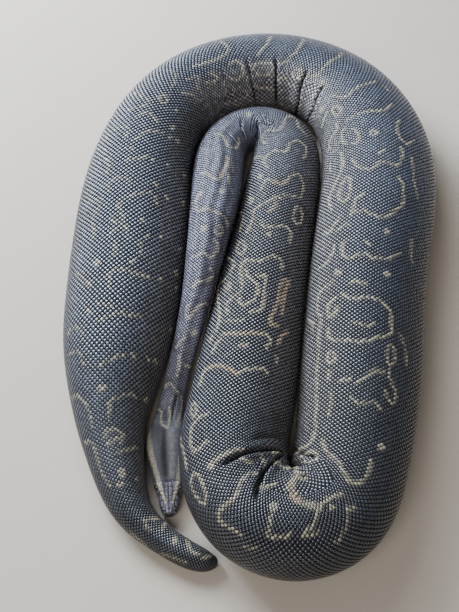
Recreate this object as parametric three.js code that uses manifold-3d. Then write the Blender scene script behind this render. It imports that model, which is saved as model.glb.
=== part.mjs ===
// A coiled African rock python at rest, life size, in millimetres with +Z up.
// One long body lies in an outer loop with a second, tighter loop nested inside it. The neck comes
// back over the inner loop and the head rests on the ground between two lengths of the trunk.
// The outer loop's far bend is towards +Y and the head points to -Y. The underside rests on z = 0.
import * as THREE from "three";
import { mergeVertices } from "three/addons/utils/BufferGeometryUtils.js";
import Module from "manifold-3d";

const wasm = await Module();
wasm.setup();

// ---- Driving dimensions ----

const BOX_CENTRE = [49.04, 55.16]; // where the middle of the whole animal's box falls in the lay-out below
const GAP = 0.3; // clearance between neighbouring pieces
const RING_STEP = 46; // spacing of the rings along a straight length of the trunk
const NAPE_STEP = 14; // closer spacing on the nape
const HEAD_STEP = 7; // and on the head
const BEND_CLOSENESS = 1.6; // how much closer the rings stand in a bend, times half width over radius
const SIDES = 24; // corners of a trunk ring
const BELLY_FILL = 1.14; // how far the underside is pressed into a flat before it is cut off level
const BEND_LIMIT = 0.93; // flesh on the inside of a bend stops at this share of the bend's radius
const BEND_SOFTNESS = 8; // power of the rounding towards that limit

// Stations from tail tip to snout, each a control point of a cubic spline:
// x, y, clearance under the belly, half width, half height, fullness of the section (2 is an ellipse).
const STATIONS = [
  // tail
  [-15, -420, 0, 6, 5, 2],
  [-30, -425, 0, 17, 13, 2],
  [-60, -415, 0, 20, 17, 2],
  [-100, -390, 0, 21, 18, 2],
  [-130, -365, 0, 26, 22, 2],
  [-150, -330, 0, 34, 28, 2],
  [-170, -255, 0, 45, 36, 2],
  // hind trunk, running away along -X
  [-175, -205, 0, 59, 45, 2],
  [-172, -120, 0, 83, 60, 2],
  [-167, -25, 0, 90, 65, 2],
  [-162, 80, 0, 94, 67, 2],
  [-160, 185, 0, 92, 67, 2],
  // outer bend
  [-150, 289, 0, 84, 66, 2],
  [-113, 393, 0, 79, 64, 2],
  [-42, 468, 0, 77, 62, 2],
  [50, 499, 0, 78, 61, 2],
  [135, 490, 0, 79, 61, 2],
  [214, 434, 0, 84, 63, 2],
  [255.8, 335, 0, 93.2, 66, 2],
  // middle trunk, coming back along +X
  [261.8, 230, 0, 98.2, 67, 2],
  [240.7, 120, 0, 96.3, 67, 2],
  [217.6, 10, 0, 91.4, 66, 2],
  [202.2, -110, 0, 91, 65, 2],
  [188.5, -200, 0, 89, 63, 2],
  // near bend, folded hard on itself
  [171.5, -294, 0, 81, 61, 2],
  [150, -365, 0, 78, 61, 2],
  [87, -392, 0, 79, 61, 2],
  [24, -365, 0, 78, 61, 2],
  [-1, -294, 0, 77, 63, 2],
  // fore trunk, inside the outer loop
  [18, -210, 0, 79, 62, 2],
  [34, -110, 0, 75, 57, 2],
  [52, 10, 0, 71, 54, 2],
  [75, 120, 0, 67, 51, 2],
  [92, 220, 0, 65, 48, 2],
  // inner turn
  [103.2, 285, 0, 61.1, 44, 2],
  [98, 343, 0, 55, 40, 2],
  [50, 374, 0, 44, 36, 2],
  [6, 344, 10, 41, 36, 2],
  // neck, lying up on the valley between two lengths of trunk, then down to the ground
  [-18, 286, 24, 43, 37, 2],
  [-20, 195, 44, 44, 36, 2],
  [-31, 95, 62, 36, 30, 2],
  [-44, 5, 60, 27, 25, 2],
  [-58, -75, 50, 21, 20, 2],
  [-73, -135, 34, 18, 18, 2],
  [-85, -175, 17, 18.5, 17, 2.1],
  [-89, -205, 4, 21, 19, 2.2],
  // head, from the back of the jaw to the snout
  [-91, -229, 0, 27, 21, 2.3],
  [-92, -250, 0, 31, 21.5, 2.4],
  [-91, -268, 0, 31, 21, 2.4],
  [-89, -288, 0, 28, 19.5, 2.4],
  [-87, -307, 0, 24.5, 17.5, 2.4],
  [-86, -323, 0.5, 20, 15.5, 2.4],
  [-85, -338, 1, 16.5, 13.5, 2.4],
  [-84.5, -350, 2, 13, 11.5, 2.3],
  [-84, -358, 3.5, 10, 9.5, 2.2],
  [-83.5, -363, 6, 5, 6, 2],
];

// Where the body is parted, as the station each piece ends at.
const PIECES = [
  ["tail", 6],
  ["vent_length", 8],
  ["hind_trunk_lower", 9.5],
  ["hind_trunk_upper", 11.5],
  ["outer_bend_rear", 13.5],
  ["outer_bend_top", 15.5],
  ["outer_bend_front", 18],
  ["middle_trunk_upper", 20],
  ["middle_trunk_lower", 22.5],
  ["near_bend_entry", 24.6],
  ["near_bend_tip", 26.6],
  ["near_bend_exit", 29],
  ["fore_trunk_lower", 31],
  ["fore_trunk_upper", 33.4],
  ["inner_turn_entry", 35.4],
  ["inner_turn_exit", 38],
  ["neck_base", 40],
  ["neck_middle", 42.4],
  ["nape", 45.2],
  ["head", STATIONS.length - 1],
];

const EYE_RADIUS = 5;
const EYE_FROM_SNOUT = 43; // back along the head
const EYE_OUT = 16.3; // from the head's midline to the eye's centre
const EYE_HEIGHT = 21.5;
const SNOUT_Y = -363;
const HEAD_X = -86.3; // the head's midline at the eyes
// The mouth line seen from the side: distance behind the snout, height.
const MOUTH_LINE = [
  [-10, 9.2],
  [0, 9.4],
  [16, 8.2],
  [45, 8.6],
  [80, 11.5],
  [104, 14.5],
  [116, 13.4],
];
const MOUTH_END = 117; // the lower jaw ends this far behind the snout

const SKIN_COLOUR = 0x39414f;
const TAIL_COLOUR = 0x2b3138;
const HEAD_COLOUR = 0x4a4f63;
const EYE_COLOUR = 0x2a211b;

// ---- The body's spline and sections ----

/** Cubic B-spline through the station table: value of every column, and its first and second
 * derivatives, at parameter t in stations. The end stations are mirrored so the curve starts on them. */
function bodyAt(t) {
  const last = STATIONS.length - 1;
  const mirrored = (a, b) => a.map((value, k) => 2 * value - b[k]);
  const row = (i) => {
    if (i < 0) return mirrored(STATIONS[0], STATIONS[1]);
    if (i > last) return mirrored(STATIONS[last], STATIONS[last - 1]);
    return STATIONS[i];
  };
  const i = Math.min(Math.floor(t), last - 1);
  const f = t - i;
  const g = 1 - f;
  const mix = (w) =>
    row(0).map((_, k) => w.reduce((sum, weight, j) => sum + weight * row(i - 1 + j)[k], 0));
  return {
    value: mix([g ** 3 / 6, (3 * f ** 3 - 6 * f * f + 4) / 6, (3 * g ** 3 - 6 * g * g + 4) / 6, f ** 3 / 6]),
    first: mix([-g * g / 2, (3 * f * f - 4 * f) / 2, (4 * g - 3 * g * g) / 2, f * f / 2]),
    second: mix([g, 3 * f - 2, 3 * g - 2, f]),
  };
}

/** The spine point, travel direction and section sizes at parameter t. */
function frameAt(t) {
  const { value, first, second } = bodyAt(t);
  const [x, y, rest, halfWidth, halfHeight, fullness] = value;
  const centre = new THREE.Vector3(x, y, rest + halfHeight);
  const along = new THREE.Vector3(first[0], first[1], first[2] + first[4]).normalize();
  const right = new THREE.Vector3().crossVectors(along, new THREE.Vector3(0, 0, 1)).normalize();
  const up = new THREE.Vector3().crossVectors(right, along);
  const speed = Math.hypot(first[0], first[1]);
  const turn = (first[1] * second[0] - first[0] * second[1]) / speed ** 3; // + bends to the right
  return { centre, along, right, up, halfWidth, halfHeight, fullness, turn };
}

/** Squeezes the distance u towards the inside of a bend so that it stays short of the bend's centre. */
function squeezed(u, turn) {
  const share = (u * turn) / BEND_LIMIT;
  if (share <= 0) return u;
  return u / (1 + share ** BEND_SOFTNESS) ** (1 / BEND_SOFTNESS);
}

/** One closed ring of the body: a rounded section pressed flat underneath, moved by shift along the body. */
function ring(t, shift) {
  const f = frameAt(t);
  const points = [];
  for (let k = 0; k < SIDES; k++) {
    const angle = (2 * Math.PI * (k + 0.5)) / SIDES;
    const bulge = (v) => Math.sign(v) * Math.abs(v) ** (2 / f.fullness);
    const u = squeezed(f.halfWidth * bulge(Math.cos(angle)), f.turn);
    const lift = bulge(Math.sin(angle));
    const w = f.halfHeight * (lift > 0 ? lift : Math.max(BELLY_FILL * lift, -1));
    points.push(
      f.centre.clone().addScaledVector(f.right, u).addScaledVector(f.up, w).addScaledVector(f.along, shift),
    );
  }
  return points;
}

/** Parameters from t0 to t1 that stand about step millimetres apart, and closer the harder the body turns. */
function spaced(t0, t1, step) {
  const fine = 400;
  const lengths = [0];
  let before = frameAt(t0).centre;
  for (let k = 1; k <= fine; k++) {
    const here = frameAt(t0 + ((t1 - t0) * k) / fine);
    const stretch = 1 + BEND_CLOSENESS * Math.abs(here.turn) * here.halfWidth;
    lengths.push(lengths[k - 1] + here.centre.distanceTo(before) * stretch);
    before = here.centre;
  }
  const count = Math.max(2, Math.round(lengths[fine] / step));
  const result = [];
  for (let n = 0, k = 0; n <= count; n++) {
    const wanted = (lengths[fine] * n) / count;
    while (k < fine - 1 && lengths[k + 1] < wanted) k++;
    const part = (wanted - lengths[k]) / (lengths[k + 1] - lengths[k]);
    result.push(t0 + ((t1 - t0) * (k + part)) / fine);
  }
  return result;
}

/** A closed geometry skinned over rings of equal length, with a fan at each end. */
function loft(rings) {
  const sides = rings[0].length;
  const positions = rings.flat().flatMap((p) => [p.x, p.y, p.z]);
  const ends = [rings[0], rings[rings.length - 1]];
  for (const end of ends) {
    const middle = end.reduce((sum, p) => sum.add(p), new THREE.Vector3()).divideScalar(sides);
    positions.push(middle.x, middle.y, middle.z);
  }
  const firstHub = rings.length * sides;
  const lastRing = (rings.length - 1) * sides;
  const index = [];
  for (let r = 0; r < rings.length - 1; r++) {
    for (let k = 0; k < sides; k++) {
      const a = r * sides + k;
      const b = r * sides + ((k + 1) % sides);
      index.push(a, a + sides, b, b, a + sides, b + sides);
    }
  }
  for (let k = 0; k < sides; k++) {
    const next = (k + 1) % sides;
    index.push(firstHub, k, next, firstHub + 1, lastRing + next, lastRing + k);
  }
  const geometry = new THREE.BufferGeometry();
  geometry.setAttribute("position", new THREE.Float32BufferAttribute(positions, 3));
  geometry.setIndex(index);
  return geometry;
}

/** A length of the body between two stations, with half the gap left at each cut end. */
function bodyLength(t0, t1, step) {
  const last = STATIONS.length - 1;
  const rings = spaced(t0, t1, step).map((t, n, all) => {
    if (n === 0 && t0 > 0) return ring(t, GAP / 2);
    if (n === all.length - 1 && t1 < last) return ring(t, -GAP / 2);
    return ring(t, 0);
  });
  return loft(rings);
}

// ---- Cuts ----

/** A closed geometry as a solid that can be joined and cut. */
function solid(geometry) {
  const bare = new THREE.BufferGeometry();
  bare.setAttribute("position", geometry.getAttribute("position").clone());
  if (geometry.index) bare.setIndex(geometry.index.clone());
  const merged = mergeVertices(bare, 1e-4);
  return new wasm.Manifold(
    new wasm.Mesh({
      numProp: 3,
      vertProperties: new Float32Array(merged.getAttribute("position").array),
      triVerts: new Uint32Array(merged.index.array),
    }),
  );
}

/** A solid back as a three.js geometry. */
function geometryOf(body) {
  const mesh = body.getMesh();
  const geometry = new THREE.BufferGeometry();
  geometry.setAttribute("position", new THREE.BufferAttribute(new Float32Array(mesh.vertProperties), 3));
  geometry.setIndex([...mesh.triVerts]);
  return geometry;
}

/** The block below the mouth line, wider than the head, shifted up or down by rise. */
function jawBlock(rise) {
  const outline = new THREE.Shape();
  const depth = -20;
  outline.moveTo(MOUTH_LINE[0][0], depth);
  for (const [back, height] of MOUTH_LINE) outline.lineTo(back, height + rise);
  outline.lineTo(MOUTH_END + rise, depth);
  const width = 100;
  const block = new THREE.ExtrudeGeometry(outline, { depth: width, bevelEnabled: false });
  // profile x runs back along +Y, profile y is height, and the depth runs across the head
  block.applyMatrix4(
    new THREE.Matrix4().set(0, 0, 1, HEAD_X - width / 2, 1, 0, 0, SNOUT_Y, 0, 1, 0, 0, 0, 0, 0, 1),
  );
  return block;
}

function eyeGeometry(side, radius) {
  const eye = new THREE.SphereGeometry(radius, 18, 12);
  eye.rotateX(Math.PI / 2);
  eye.translate(HEAD_X + side * EYE_OUT, SNOUT_Y + EYE_FROM_SNOUT, EYE_HEIGHT);
  return eye;
}

// ---- Scene graph ----

const skin = (color) => new THREE.MeshStandardMaterial({ color, roughness: 0.42, metalness: 0 });
const trunkMaterial = skin(SKIN_COLOUR);
const tailMaterial = skin(TAIL_COLOUR);
const headMaterial = skin(HEAD_COLOUR);
const eyeMaterial = new THREE.MeshStandardMaterial({ color: EYE_COLOUR, roughness: 0.08, metalness: 0 });

const python = new THREE.Group();
python.position.set(-BOX_CENTRE[0], -BOX_CENTRE[1], 0);

function add(name, geometry, material) {
  const mesh = new THREE.Mesh(geometry, material);
  mesh.name = name;
  python.add(mesh);
}

let start = 0;
for (const [name, end] of PIECES) {
  if (name !== "head") {
    const step = name === "nape" ? NAPE_STEP : RING_STEP;
    add(name, bodyLength(start, end, step), name === "tail" ? tailMaterial : trunkMaterial);
  } else {
    const sockets = [1, -1].map((side) => solid(eyeGeometry(side, EYE_RADIUS + GAP)));
    const whole = solid(bodyLength(start, end, HEAD_STEP)).subtract(sockets[0]).subtract(sockets[1]);
    add("head", geometryOf(whole.subtract(solid(jawBlock(GAP)))), headMaterial);
    add("lower_jaw", geometryOf(whole.intersect(solid(jawBlock(0)))), headMaterial);
  }
  start = end;
}
add("eye_left", eyeGeometry(1, EYE_RADIUS), eyeMaterial);
add("eye_right", eyeGeometry(-1, EYE_RADIUS), eyeMaterial);

export default python;
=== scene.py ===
# %% [markdown]
# # A coiled rock python at rest
#
# A python is one long tube of flesh. It swells and narrows, it bends and folds on itself, and it
# wears tens of thousands of small glossy scales. The lesson builds it in that order: the tube as a
# sweep along a spline, the folds and the head as relief on that sweep, the markings as strokes drawn
# in the body's own coordinates, and last the scales, laid out on a lattice that follows the body.
#
# Everything is in metres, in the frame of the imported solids.

import bpy
import numpy as np
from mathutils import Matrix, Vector


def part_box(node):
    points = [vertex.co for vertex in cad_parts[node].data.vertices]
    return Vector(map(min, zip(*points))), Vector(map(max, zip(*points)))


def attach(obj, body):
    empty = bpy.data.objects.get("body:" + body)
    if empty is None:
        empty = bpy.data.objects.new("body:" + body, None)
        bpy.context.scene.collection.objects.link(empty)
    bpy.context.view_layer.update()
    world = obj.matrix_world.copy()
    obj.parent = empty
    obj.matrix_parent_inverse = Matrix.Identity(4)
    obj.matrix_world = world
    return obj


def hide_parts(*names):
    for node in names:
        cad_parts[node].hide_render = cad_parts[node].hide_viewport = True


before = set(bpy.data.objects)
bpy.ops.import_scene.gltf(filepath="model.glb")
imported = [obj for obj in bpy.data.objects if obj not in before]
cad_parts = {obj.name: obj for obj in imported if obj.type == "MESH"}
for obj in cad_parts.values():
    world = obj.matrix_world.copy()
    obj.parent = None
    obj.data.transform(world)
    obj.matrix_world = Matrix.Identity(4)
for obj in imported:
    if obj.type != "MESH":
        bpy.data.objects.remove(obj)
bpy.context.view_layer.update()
MM = 0.001

# %% [markdown]
# ## Camera
#
# The animal is seen from a standing person's height, looking down at 57 degrees. A camera object
# could be aimed with a constraint, but a fixed place and angle is simpler here, because the markings
# further down are placed through this same camera. A small function turns points in the room into
# view coordinates, counted in pixels from the top left corner.

# %% Camera
VIEW_SIZE = (459, 612)
LENS_MM, SENSOR_MM = 50.0, 36.0
CAMERA_AT = np.array([-0.04904, -0.81766, 1.17414])
LOOKING_DOWN = np.radians(57.0)

camera_data = bpy.data.cameras.new("camera")
camera_data.lens = LENS_MM
camera_data.sensor_width = SENSOR_MM
camera_data.sensor_fit = "AUTO"
camera = bpy.data.objects.new("camera", camera_data)
camera.location = CAMERA_AT
camera.rotation_euler = (np.pi / 2 - LOOKING_DOWN, 0, 0)
bpy.context.scene.collection.objects.link(camera)
bpy.context.scene.camera = camera


def to_view(points):
    """View coordinates of points: the offset from the camera is split into right, up and forward
    parts, and right and up are divided by forward and multiplied by the lens length in pixels."""
    offset = points - CAMERA_AT
    forward = np.array([0, np.cos(LOOKING_DOWN), -np.sin(LOOKING_DOWN)])
    upward = np.array([0, np.sin(LOOKING_DOWN), np.cos(LOOKING_DOWN)])
    depth = offset @ forward
    lens_pixels = LENS_MM / SENSOR_MM * max(VIEW_SIZE)
    across = VIEW_SIZE[0] / 2 + lens_pixels * offset[..., 0] / depth
    down = VIEW_SIZE[1] / 2 - lens_pixels * (offset @ upward) / depth
    return np.stack([across, down], -1)


print("the frame's origin is seen at", np.round(to_view(np.zeros(3)), 1))

# %% [markdown]
# ## Floor and light
#
# Wet-looking scales show their light source in every dome, so the lamps matter as much as the skin.
# One wide soft panel, behind the coil and to its left, gives the long sheen on the left slopes and
# leaves the right slopes dark. A weaker one behind and another on the near side open the shadows. A
# small hard lamp would put a spark in each scale instead and hide the lattice.

# %% Floor and lamps
FLOOR_HALF = 4.0
floor_mesh = bpy.data.meshes.new("floor")
floor_mesh.from_pydata(
    [(x * FLOOR_HALF, y * FLOOR_HALF, 0) for x, y in ((-1, -1), (1, -1), (1, 1), (-1, 1))], [], [(0, 1, 2, 3)]
)
floor = bpy.data.objects.new("floor", floor_mesh)
bpy.context.scene.collection.objects.link(floor)


def soft_panel(name, place, size, power, colour=(1, 1, 1)):
    """A square lamp at place that faces the middle of the coil."""
    data = bpy.data.lights.new(name, "AREA")
    data.size = size
    data.energy = power
    data.color = colour
    lamp = bpy.data.objects.new(name, data)
    lamp.location = place
    from_middle = Vector(place)
    lamp.rotation_euler = from_middle.to_track_quat("Z", "Y").to_euler()
    bpy.context.scene.collection.objects.link(lamp)


soft_panel("key_panel", (-1.65, 1.75, 1.35), 1.4, 215, (0.80, 0.90, 1.0))
soft_panel("back_panel", (-0.8, 1.5, 1.95), 1.2, 44, (0.80, 0.90, 1.0))
soft_panel("fill_panel", (-0.6, -1.5, 1.8), 1.1, 21, (1.0, 0.97, 0.93))

world = bpy.data.worlds.new("studio")
world.use_nodes = True
world.node_tree.nodes["Background"].inputs["Color"].default_value = (1.0, 0.98, 0.96, 1)
world.node_tree.nodes["Background"].inputs["Strength"].default_value = 0.18
bpy.context.scene.world = world
print("floor", 2 * FLOOR_HALF, "m square, three soft panels")

# %% [markdown]
# ## The spine
#
# Fifty-six stations from the tail tip to the snout say where the body lies and how thick it is. A
# body like this could be sculpted, but a sweep keeps every later step simple, because each point of
# the skin then has an address: how far along the spine, and how far round the section.

# %% Stations
BOX_CENTRE = np.array([0.04904, 0.05516])  # the middle of the animal's box in the stations' own lay-out
# x, y, clearance under the belly, half width, half height, fullness of the section (2 is an ellipse)
STATIONS = np.array([
    # tail
    (-0.015, -0.42, 0, 0.006, 0.005, 2),
    (-0.03, -0.425, 0, 0.017, 0.013, 2),
    (-0.06, -0.415, 0, 0.02, 0.017, 2),
    (-0.1, -0.39, 0, 0.021, 0.018, 2),
    (-0.13, -0.365, 0, 0.026, 0.022, 2),
    (-0.15, -0.33, 0, 0.034, 0.028, 2),
    (-0.17, -0.255, 0, 0.045, 0.036, 2),
    # hind trunk, running away along -X
    (-0.175, -0.205, 0, 0.059, 0.045, 2),
    (-0.172, -0.12, 0, 0.083, 0.06, 2),
    (-0.167, -0.025, 0, 0.09, 0.065, 2),
    (-0.162, 0.08, 0, 0.094, 0.067, 2),
    (-0.16, 0.185, 0, 0.092, 0.067, 2),
    # outer bend
    (-0.15, 0.289, 0, 0.084, 0.066, 2),
    (-0.113, 0.393, 0, 0.079, 0.064, 2),
    (-0.042, 0.468, 0, 0.077, 0.062, 2),
    (0.05, 0.499, 0, 0.078, 0.061, 2),
    (0.135, 0.49, 0, 0.079, 0.061, 2),
    (0.214, 0.434, 0, 0.084, 0.063, 2),
    (0.2558, 0.335, 0, 0.0932, 0.066, 2),
    # middle trunk, coming back along +X
    (0.2618, 0.23, 0, 0.0982, 0.067, 2),
    (0.2407, 0.12, 0, 0.0963, 0.067, 2),
    (0.2176, 0.01, 0, 0.0914, 0.066, 2),
    (0.2022, -0.11, 0, 0.091, 0.065, 2),
    (0.1885, -0.2, 0, 0.089, 0.063, 2),
    # near bend, folded hard on itself
    (0.1715, -0.294, 0, 0.081, 0.061, 2),
    (0.15, -0.365, 0, 0.078, 0.061, 2),
    (0.087, -0.392, 0, 0.079, 0.061, 2),
    (0.024, -0.365, 0, 0.078, 0.061, 2),
    (-0.001, -0.294, 0, 0.077, 0.063, 2),
    # fore trunk, inside the outer loop
    (0.018, -0.21, 0, 0.079, 0.062, 2),
    (0.034, -0.11, 0, 0.075, 0.057, 2),
    (0.052, 0.01, 0, 0.071, 0.054, 2),
    (0.075, 0.12, 0, 0.067, 0.051, 2),
    (0.092, 0.22, 0, 0.065, 0.048, 2),
    # inner turn
    (0.1032, 0.285, 0, 0.0611, 0.044, 2),
    (0.098, 0.343, 0, 0.055, 0.04, 2),
    (0.05, 0.374, 0, 0.044, 0.036, 2),
    (0.006, 0.344, 0.01, 0.041, 0.036, 2),
    # neck, lying up on the valley between two lengths of trunk, then down to the ground
    (-0.018, 0.286, 0.024, 0.043, 0.037, 2),
    (-0.02, 0.195, 0.044, 0.044, 0.036, 2),
    (-0.031, 0.095, 0.062, 0.036, 0.03, 2),
    (-0.044, 0.005, 0.06, 0.027, 0.025, 2),
    (-0.058, -0.075, 0.05, 0.021, 0.02, 2),
    (-0.073, -0.135, 0.034, 0.018, 0.018, 2),
    (-0.085, -0.175, 0.017, 0.0185, 0.017, 2.1),
    (-0.089, -0.205, 0.004, 0.021, 0.019, 2.2),
    # head, from the back of the jaw to the snout
    (-0.091, -0.229, 0, 0.027, 0.021, 2.3),
    (-0.092, -0.25, 0, 0.031, 0.0215, 2.4),
    (-0.091, -0.268, 0, 0.031, 0.021, 2.4),
    (-0.089, -0.288, 0, 0.028, 0.0195, 2.4),
    (-0.087, -0.307, 0, 0.0245, 0.0175, 2.4),
    (-0.086, -0.323, 0.0005, 0.02, 0.0155, 2.4),
    (-0.085, -0.338, 0.001, 0.0165, 0.0135, 2.4),
    (-0.0845, -0.35, 0.002, 0.013, 0.0115, 2.3),
    (-0.084, -0.358, 0.0035, 0.01, 0.0095, 2.2),
    (-0.0835, -0.363, 0.006, 0.005, 0.006, 2),
])
BELLY_FILL = 1.14  # how far the underside is pressed into a flat before it is cut off level
BEND_LIMIT = 0.93  # flesh on the inside of a bend stops at this share of the bend's radius
BEND_SOFTNESS = 8
COAT = 0.0015  # depth kept for the scales between the skin and the animal's outline
SPINE_SAMPLES = 16001
TINY = 1e-12  # keeps a division from meeting zero
print(len(STATIONS), "stations")


# %% The spline through the stations
def unit(vectors):
    """Each vector divided by its own length."""
    return vectors / np.maximum(np.linalg.norm(vectors, axis=-1, keepdims=True), TINY)


def spline(table, t):
    """Uniform cubic B-spline: at parameter t each column is a weighted mean of four rows around it, and
    its two derivatives use the derivatives of the weights. The end rows are mirrored."""
    rows = np.vstack([2 * table[0] - table[1], table, 2 * table[-1] - table[-2]])
    i = np.minimum(t.astype(int), len(table) - 2)
    f = (t - i)[:, None]
    g = 1 - f
    weights = (
        (g**3 / 6, (3 * f**3 - 6 * f**2 + 4) / 6, (3 * g**3 - 6 * g**2 + 4) / 6, f**3 / 6),
        (-g * g / 2, (3 * f * f - 4 * f) / 2, (4 * g - 3 * g * g) / 2, f * f / 2),
        (g, 3 * f - 2, 3 * g - 2, f),
    )
    return [sum(w * rows[i + k] for k, w in enumerate(four)) for four in weights]


t_fine = np.linspace(0, len(STATIONS) - 1, SPINE_SAMPLES)
value, first, second = spline(STATIONS, t_fine)
centre = np.column_stack([value[:, :2] - BOX_CENTRE, value[:, 2] + value[:, 4]])
along = unit(np.column_stack([first[:, :2], first[:, 2] + first[:, 4]]))
right = unit(np.cross(along, [0, 0, 1]))
bend = (first[:, 1] * second[:, 0] - first[:, 0] * second[:, 1]) / np.hypot(first[:, 0], first[:, 1]) ** 3
s_fine = np.r_[0, np.cumsum(np.linalg.norm(np.diff(centre, axis=0), axis=1))]
LENGTH = s_fine[-1]
spine = np.column_stack([centre, right, np.cross(right, along), value[:, 3:6], bend, t_fine])
print("the spine is", round(LENGTH, 3), "m long")


# %% Reading the spine
def spine_at(s):
    """Every column of the spine table, read off between its samples at distances s from the tail tip."""
    columns = np.stack([np.interp(s, s_fine, column) for column in spine.T], -1)
    names = {"centre": slice(0, 3), "right": slice(3, 6), "up": slice(6, 9)}
    found = {name: columns[..., part] for name, part in names.items()}
    for k, name in enumerate(("half_width", "half_height", "fullness", "bend", "station"), 9):
        found[name] = columns[..., k]
    return found


def at_station(t):
    """Distance from the tail tip to station t."""
    return np.interp(t, t_fine, s_fine)


def station_at(s):
    """Station at distance s from the tail tip."""
    return np.interp(s, s_fine, t_fine)


HEAD_LENGTH = 0.12  # from the back of the jaw to the snout
print("the head starts near station", round(float(station_at(LENGTH - HEAD_LENGTH)), 1))

# %% [markdown]
# ## Sections
#
# A lying python isn't round. Its belly spreads on the ground, and on the inside of a tight bend the
# flesh runs out of room. The section is an ellipse of adjustable fullness with its underside cut off
# level, and a soft limit squeezes the inner side. The ends of the animal are closed by letting the
# section shrink along a quarter circle.

# %% The section's formula
NOSE_ROUND, TAIL_ROUND = 0.007, 0.006


def section(sizes, angle):
    """Offsets to the right and up at an angle from the top of the section. Sine and cosine are raised
    to a power below one for a fuller shape, times half width and half height; the underside is filled
    and cut off; what lies towards a bend's centre is divided by a root that keeps it short of it."""

    def bulge(v):
        return np.sign(v) * np.abs(v) ** (2 / sizes["fullness"][:, None])

    across = (sizes["half_width"][:, None] - COAT) * bulge(np.sin(angle))
    lift = bulge(np.cos(angle))
    filled = np.maximum(BELLY_FILL * lift, -1)
    lifted = (sizes["half_height"][:, None] - COAT) * np.where(lift > 0, lift, filled)
    share = np.maximum(across * sizes["bend"][:, None] / BEND_LIMIT, 0)
    across = across / (1 + share**BEND_SOFTNESS) ** (1 / BEND_SOFTNESS)
    from_nose = np.clip((LENGTH - COAT - sizes["s"]) / NOSE_ROUND, 0, 1)
    from_tail = np.clip((sizes["s"] - COAT) / TAIL_ROUND, 0, 1)
    close = np.sqrt(1 - (1 - from_nose) ** 2) * np.sqrt(1 - (1 - from_tail) ** 2)
    return across * close[:, None], lifted * close[:, None]


# %% Where the rings stand
RING_ZONES = np.array([  # station, distance between rings
    (0, 0.0025), (6, 0.005), (13, 0.005), (14, 0.003), (17.5, 0.003), (19, 0.005), (23.6, 0.005),
    (24.4, 0.0022), (29, 0.0022), (30, 0.005), (33.4, 0.005), (34.2, 0.002), (38.5, 0.0025), (41, 0.004),
    (44.6, 0.002), (45.4, 0.0007), (55, 0.0006),
])
HALF_COLUMNS = 160  # steps from the back's midline to the belly's, on either side
FINE_STEPS = 360  # steps of the finer section that they are measured on


def ring_count(zones):
    """How many rings there are between the tail tip and each sample of the spine: the running sum of
    each step divided by the mean spacing over it."""
    spacing = np.interp(t_fine, *zones.T)
    return np.r_[0, np.cumsum(np.diff(s_fine) / ((spacing[1:] + spacing[:-1]) / 2))]


def round_end(length, first_degrees, steps):
    """Length times one minus a cosine: steps that part a quarter circle evenly."""
    return length * (1 - np.cos(np.radians(np.linspace(first_degrees, 90, steps))))


count_fine = ring_count(RING_ZONES)
CLEAR_OF_END = 1.02  # times the coat, so that no ring has shrunk to a point
first_count, last_count = np.interp([COAT * CLEAR_OF_END, LENGTH - COAT * CLEAR_OF_END], s_fine, count_fine)
even_s = np.interp(np.linspace(first_count, last_count, int(count_fine[-1])), count_fine, s_fine)
between_ends = (even_s > COAT + TAIL_ROUND * 1.1) & (even_s < LENGTH - COAT - NOSE_ROUND * 1.05)
row_s = np.r_[
    COAT + round_end(TAIL_ROUND, 4, 22),
    even_s[between_ends],
    (LENGTH - COAT - round_end(NOSE_ROUND, 4, 22))[::-1],
]
sizes = spine_at(row_s)
sizes["s"] = row_s
ROWS, COLUMNS = len(row_s), 2 * HALF_COLUMNS + 1
column_f = np.linspace(-0.5, 0.5, COLUMNS)
print(ROWS, "rings of", COLUMNS, "points")


# %% Angles that part each side into equal steps
def equal_angles(side):
    """For every ring, the angles at which one side, from the back's midline to the belly's, is parted
    into steps of equal length, and that side's length. The running length of a fine section is found
    first, and the angles are read back from it, all rings in one table by adding twice the ring's
    number to its running share."""
    fine = np.linspace(0, np.pi, FINE_STEPS + 1)
    across, lifted = section(sizes, side * fine[None, :])
    steps = np.hypot(np.diff(across, axis=1), np.diff(lifted, axis=1))
    running = np.concatenate([np.zeros((ROWS, 1)), np.cumsum(steps, axis=1)], axis=1)
    total = running[:, -1]
    ring = 2.0 * np.arange(ROWS)[:, None]
    wanted = np.linspace(0, 1, HALF_COLUMNS + 1)[None, :]
    reached = (ring + running / total[:, None]).ravel()
    angles = np.interp((ring + wanted).ravel(), reached, np.tile(fine, ROWS))
    return side * angles.reshape(ROWS, -1), total


angles_right, side_right = equal_angles(1)
angles_left, side_left = equal_angles(-1)
angles = np.concatenate([angles_left[:, :0:-1], angles_right], axis=1)
across, lifted = section(sizes, angles)
smooth_grid = (
    sizes["centre"][:, None]
    + sizes["right"][:, None] * across[..., None]
    + sizes["up"][:, None] * lifted[..., None]
)
print("half girths from", round(side_right.min(), 3), "to", round(side_right.max(), 3), "m")


# %% Grid helpers
JUST_INSIDE = 1.000001  # nodes in from the last one, so that a node always follows


def grid_normals(grid):
    """Outward unit normals: the step round the section crossed with the step along the body."""
    wrapped = np.concatenate([grid[:, -2:-1], grid, grid[:, 1:2]], axis=1)
    return unit(np.cross(wrapped[:, 2:] - wrapped[:, :-2], np.gradient(grid, axis=0)))


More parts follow.
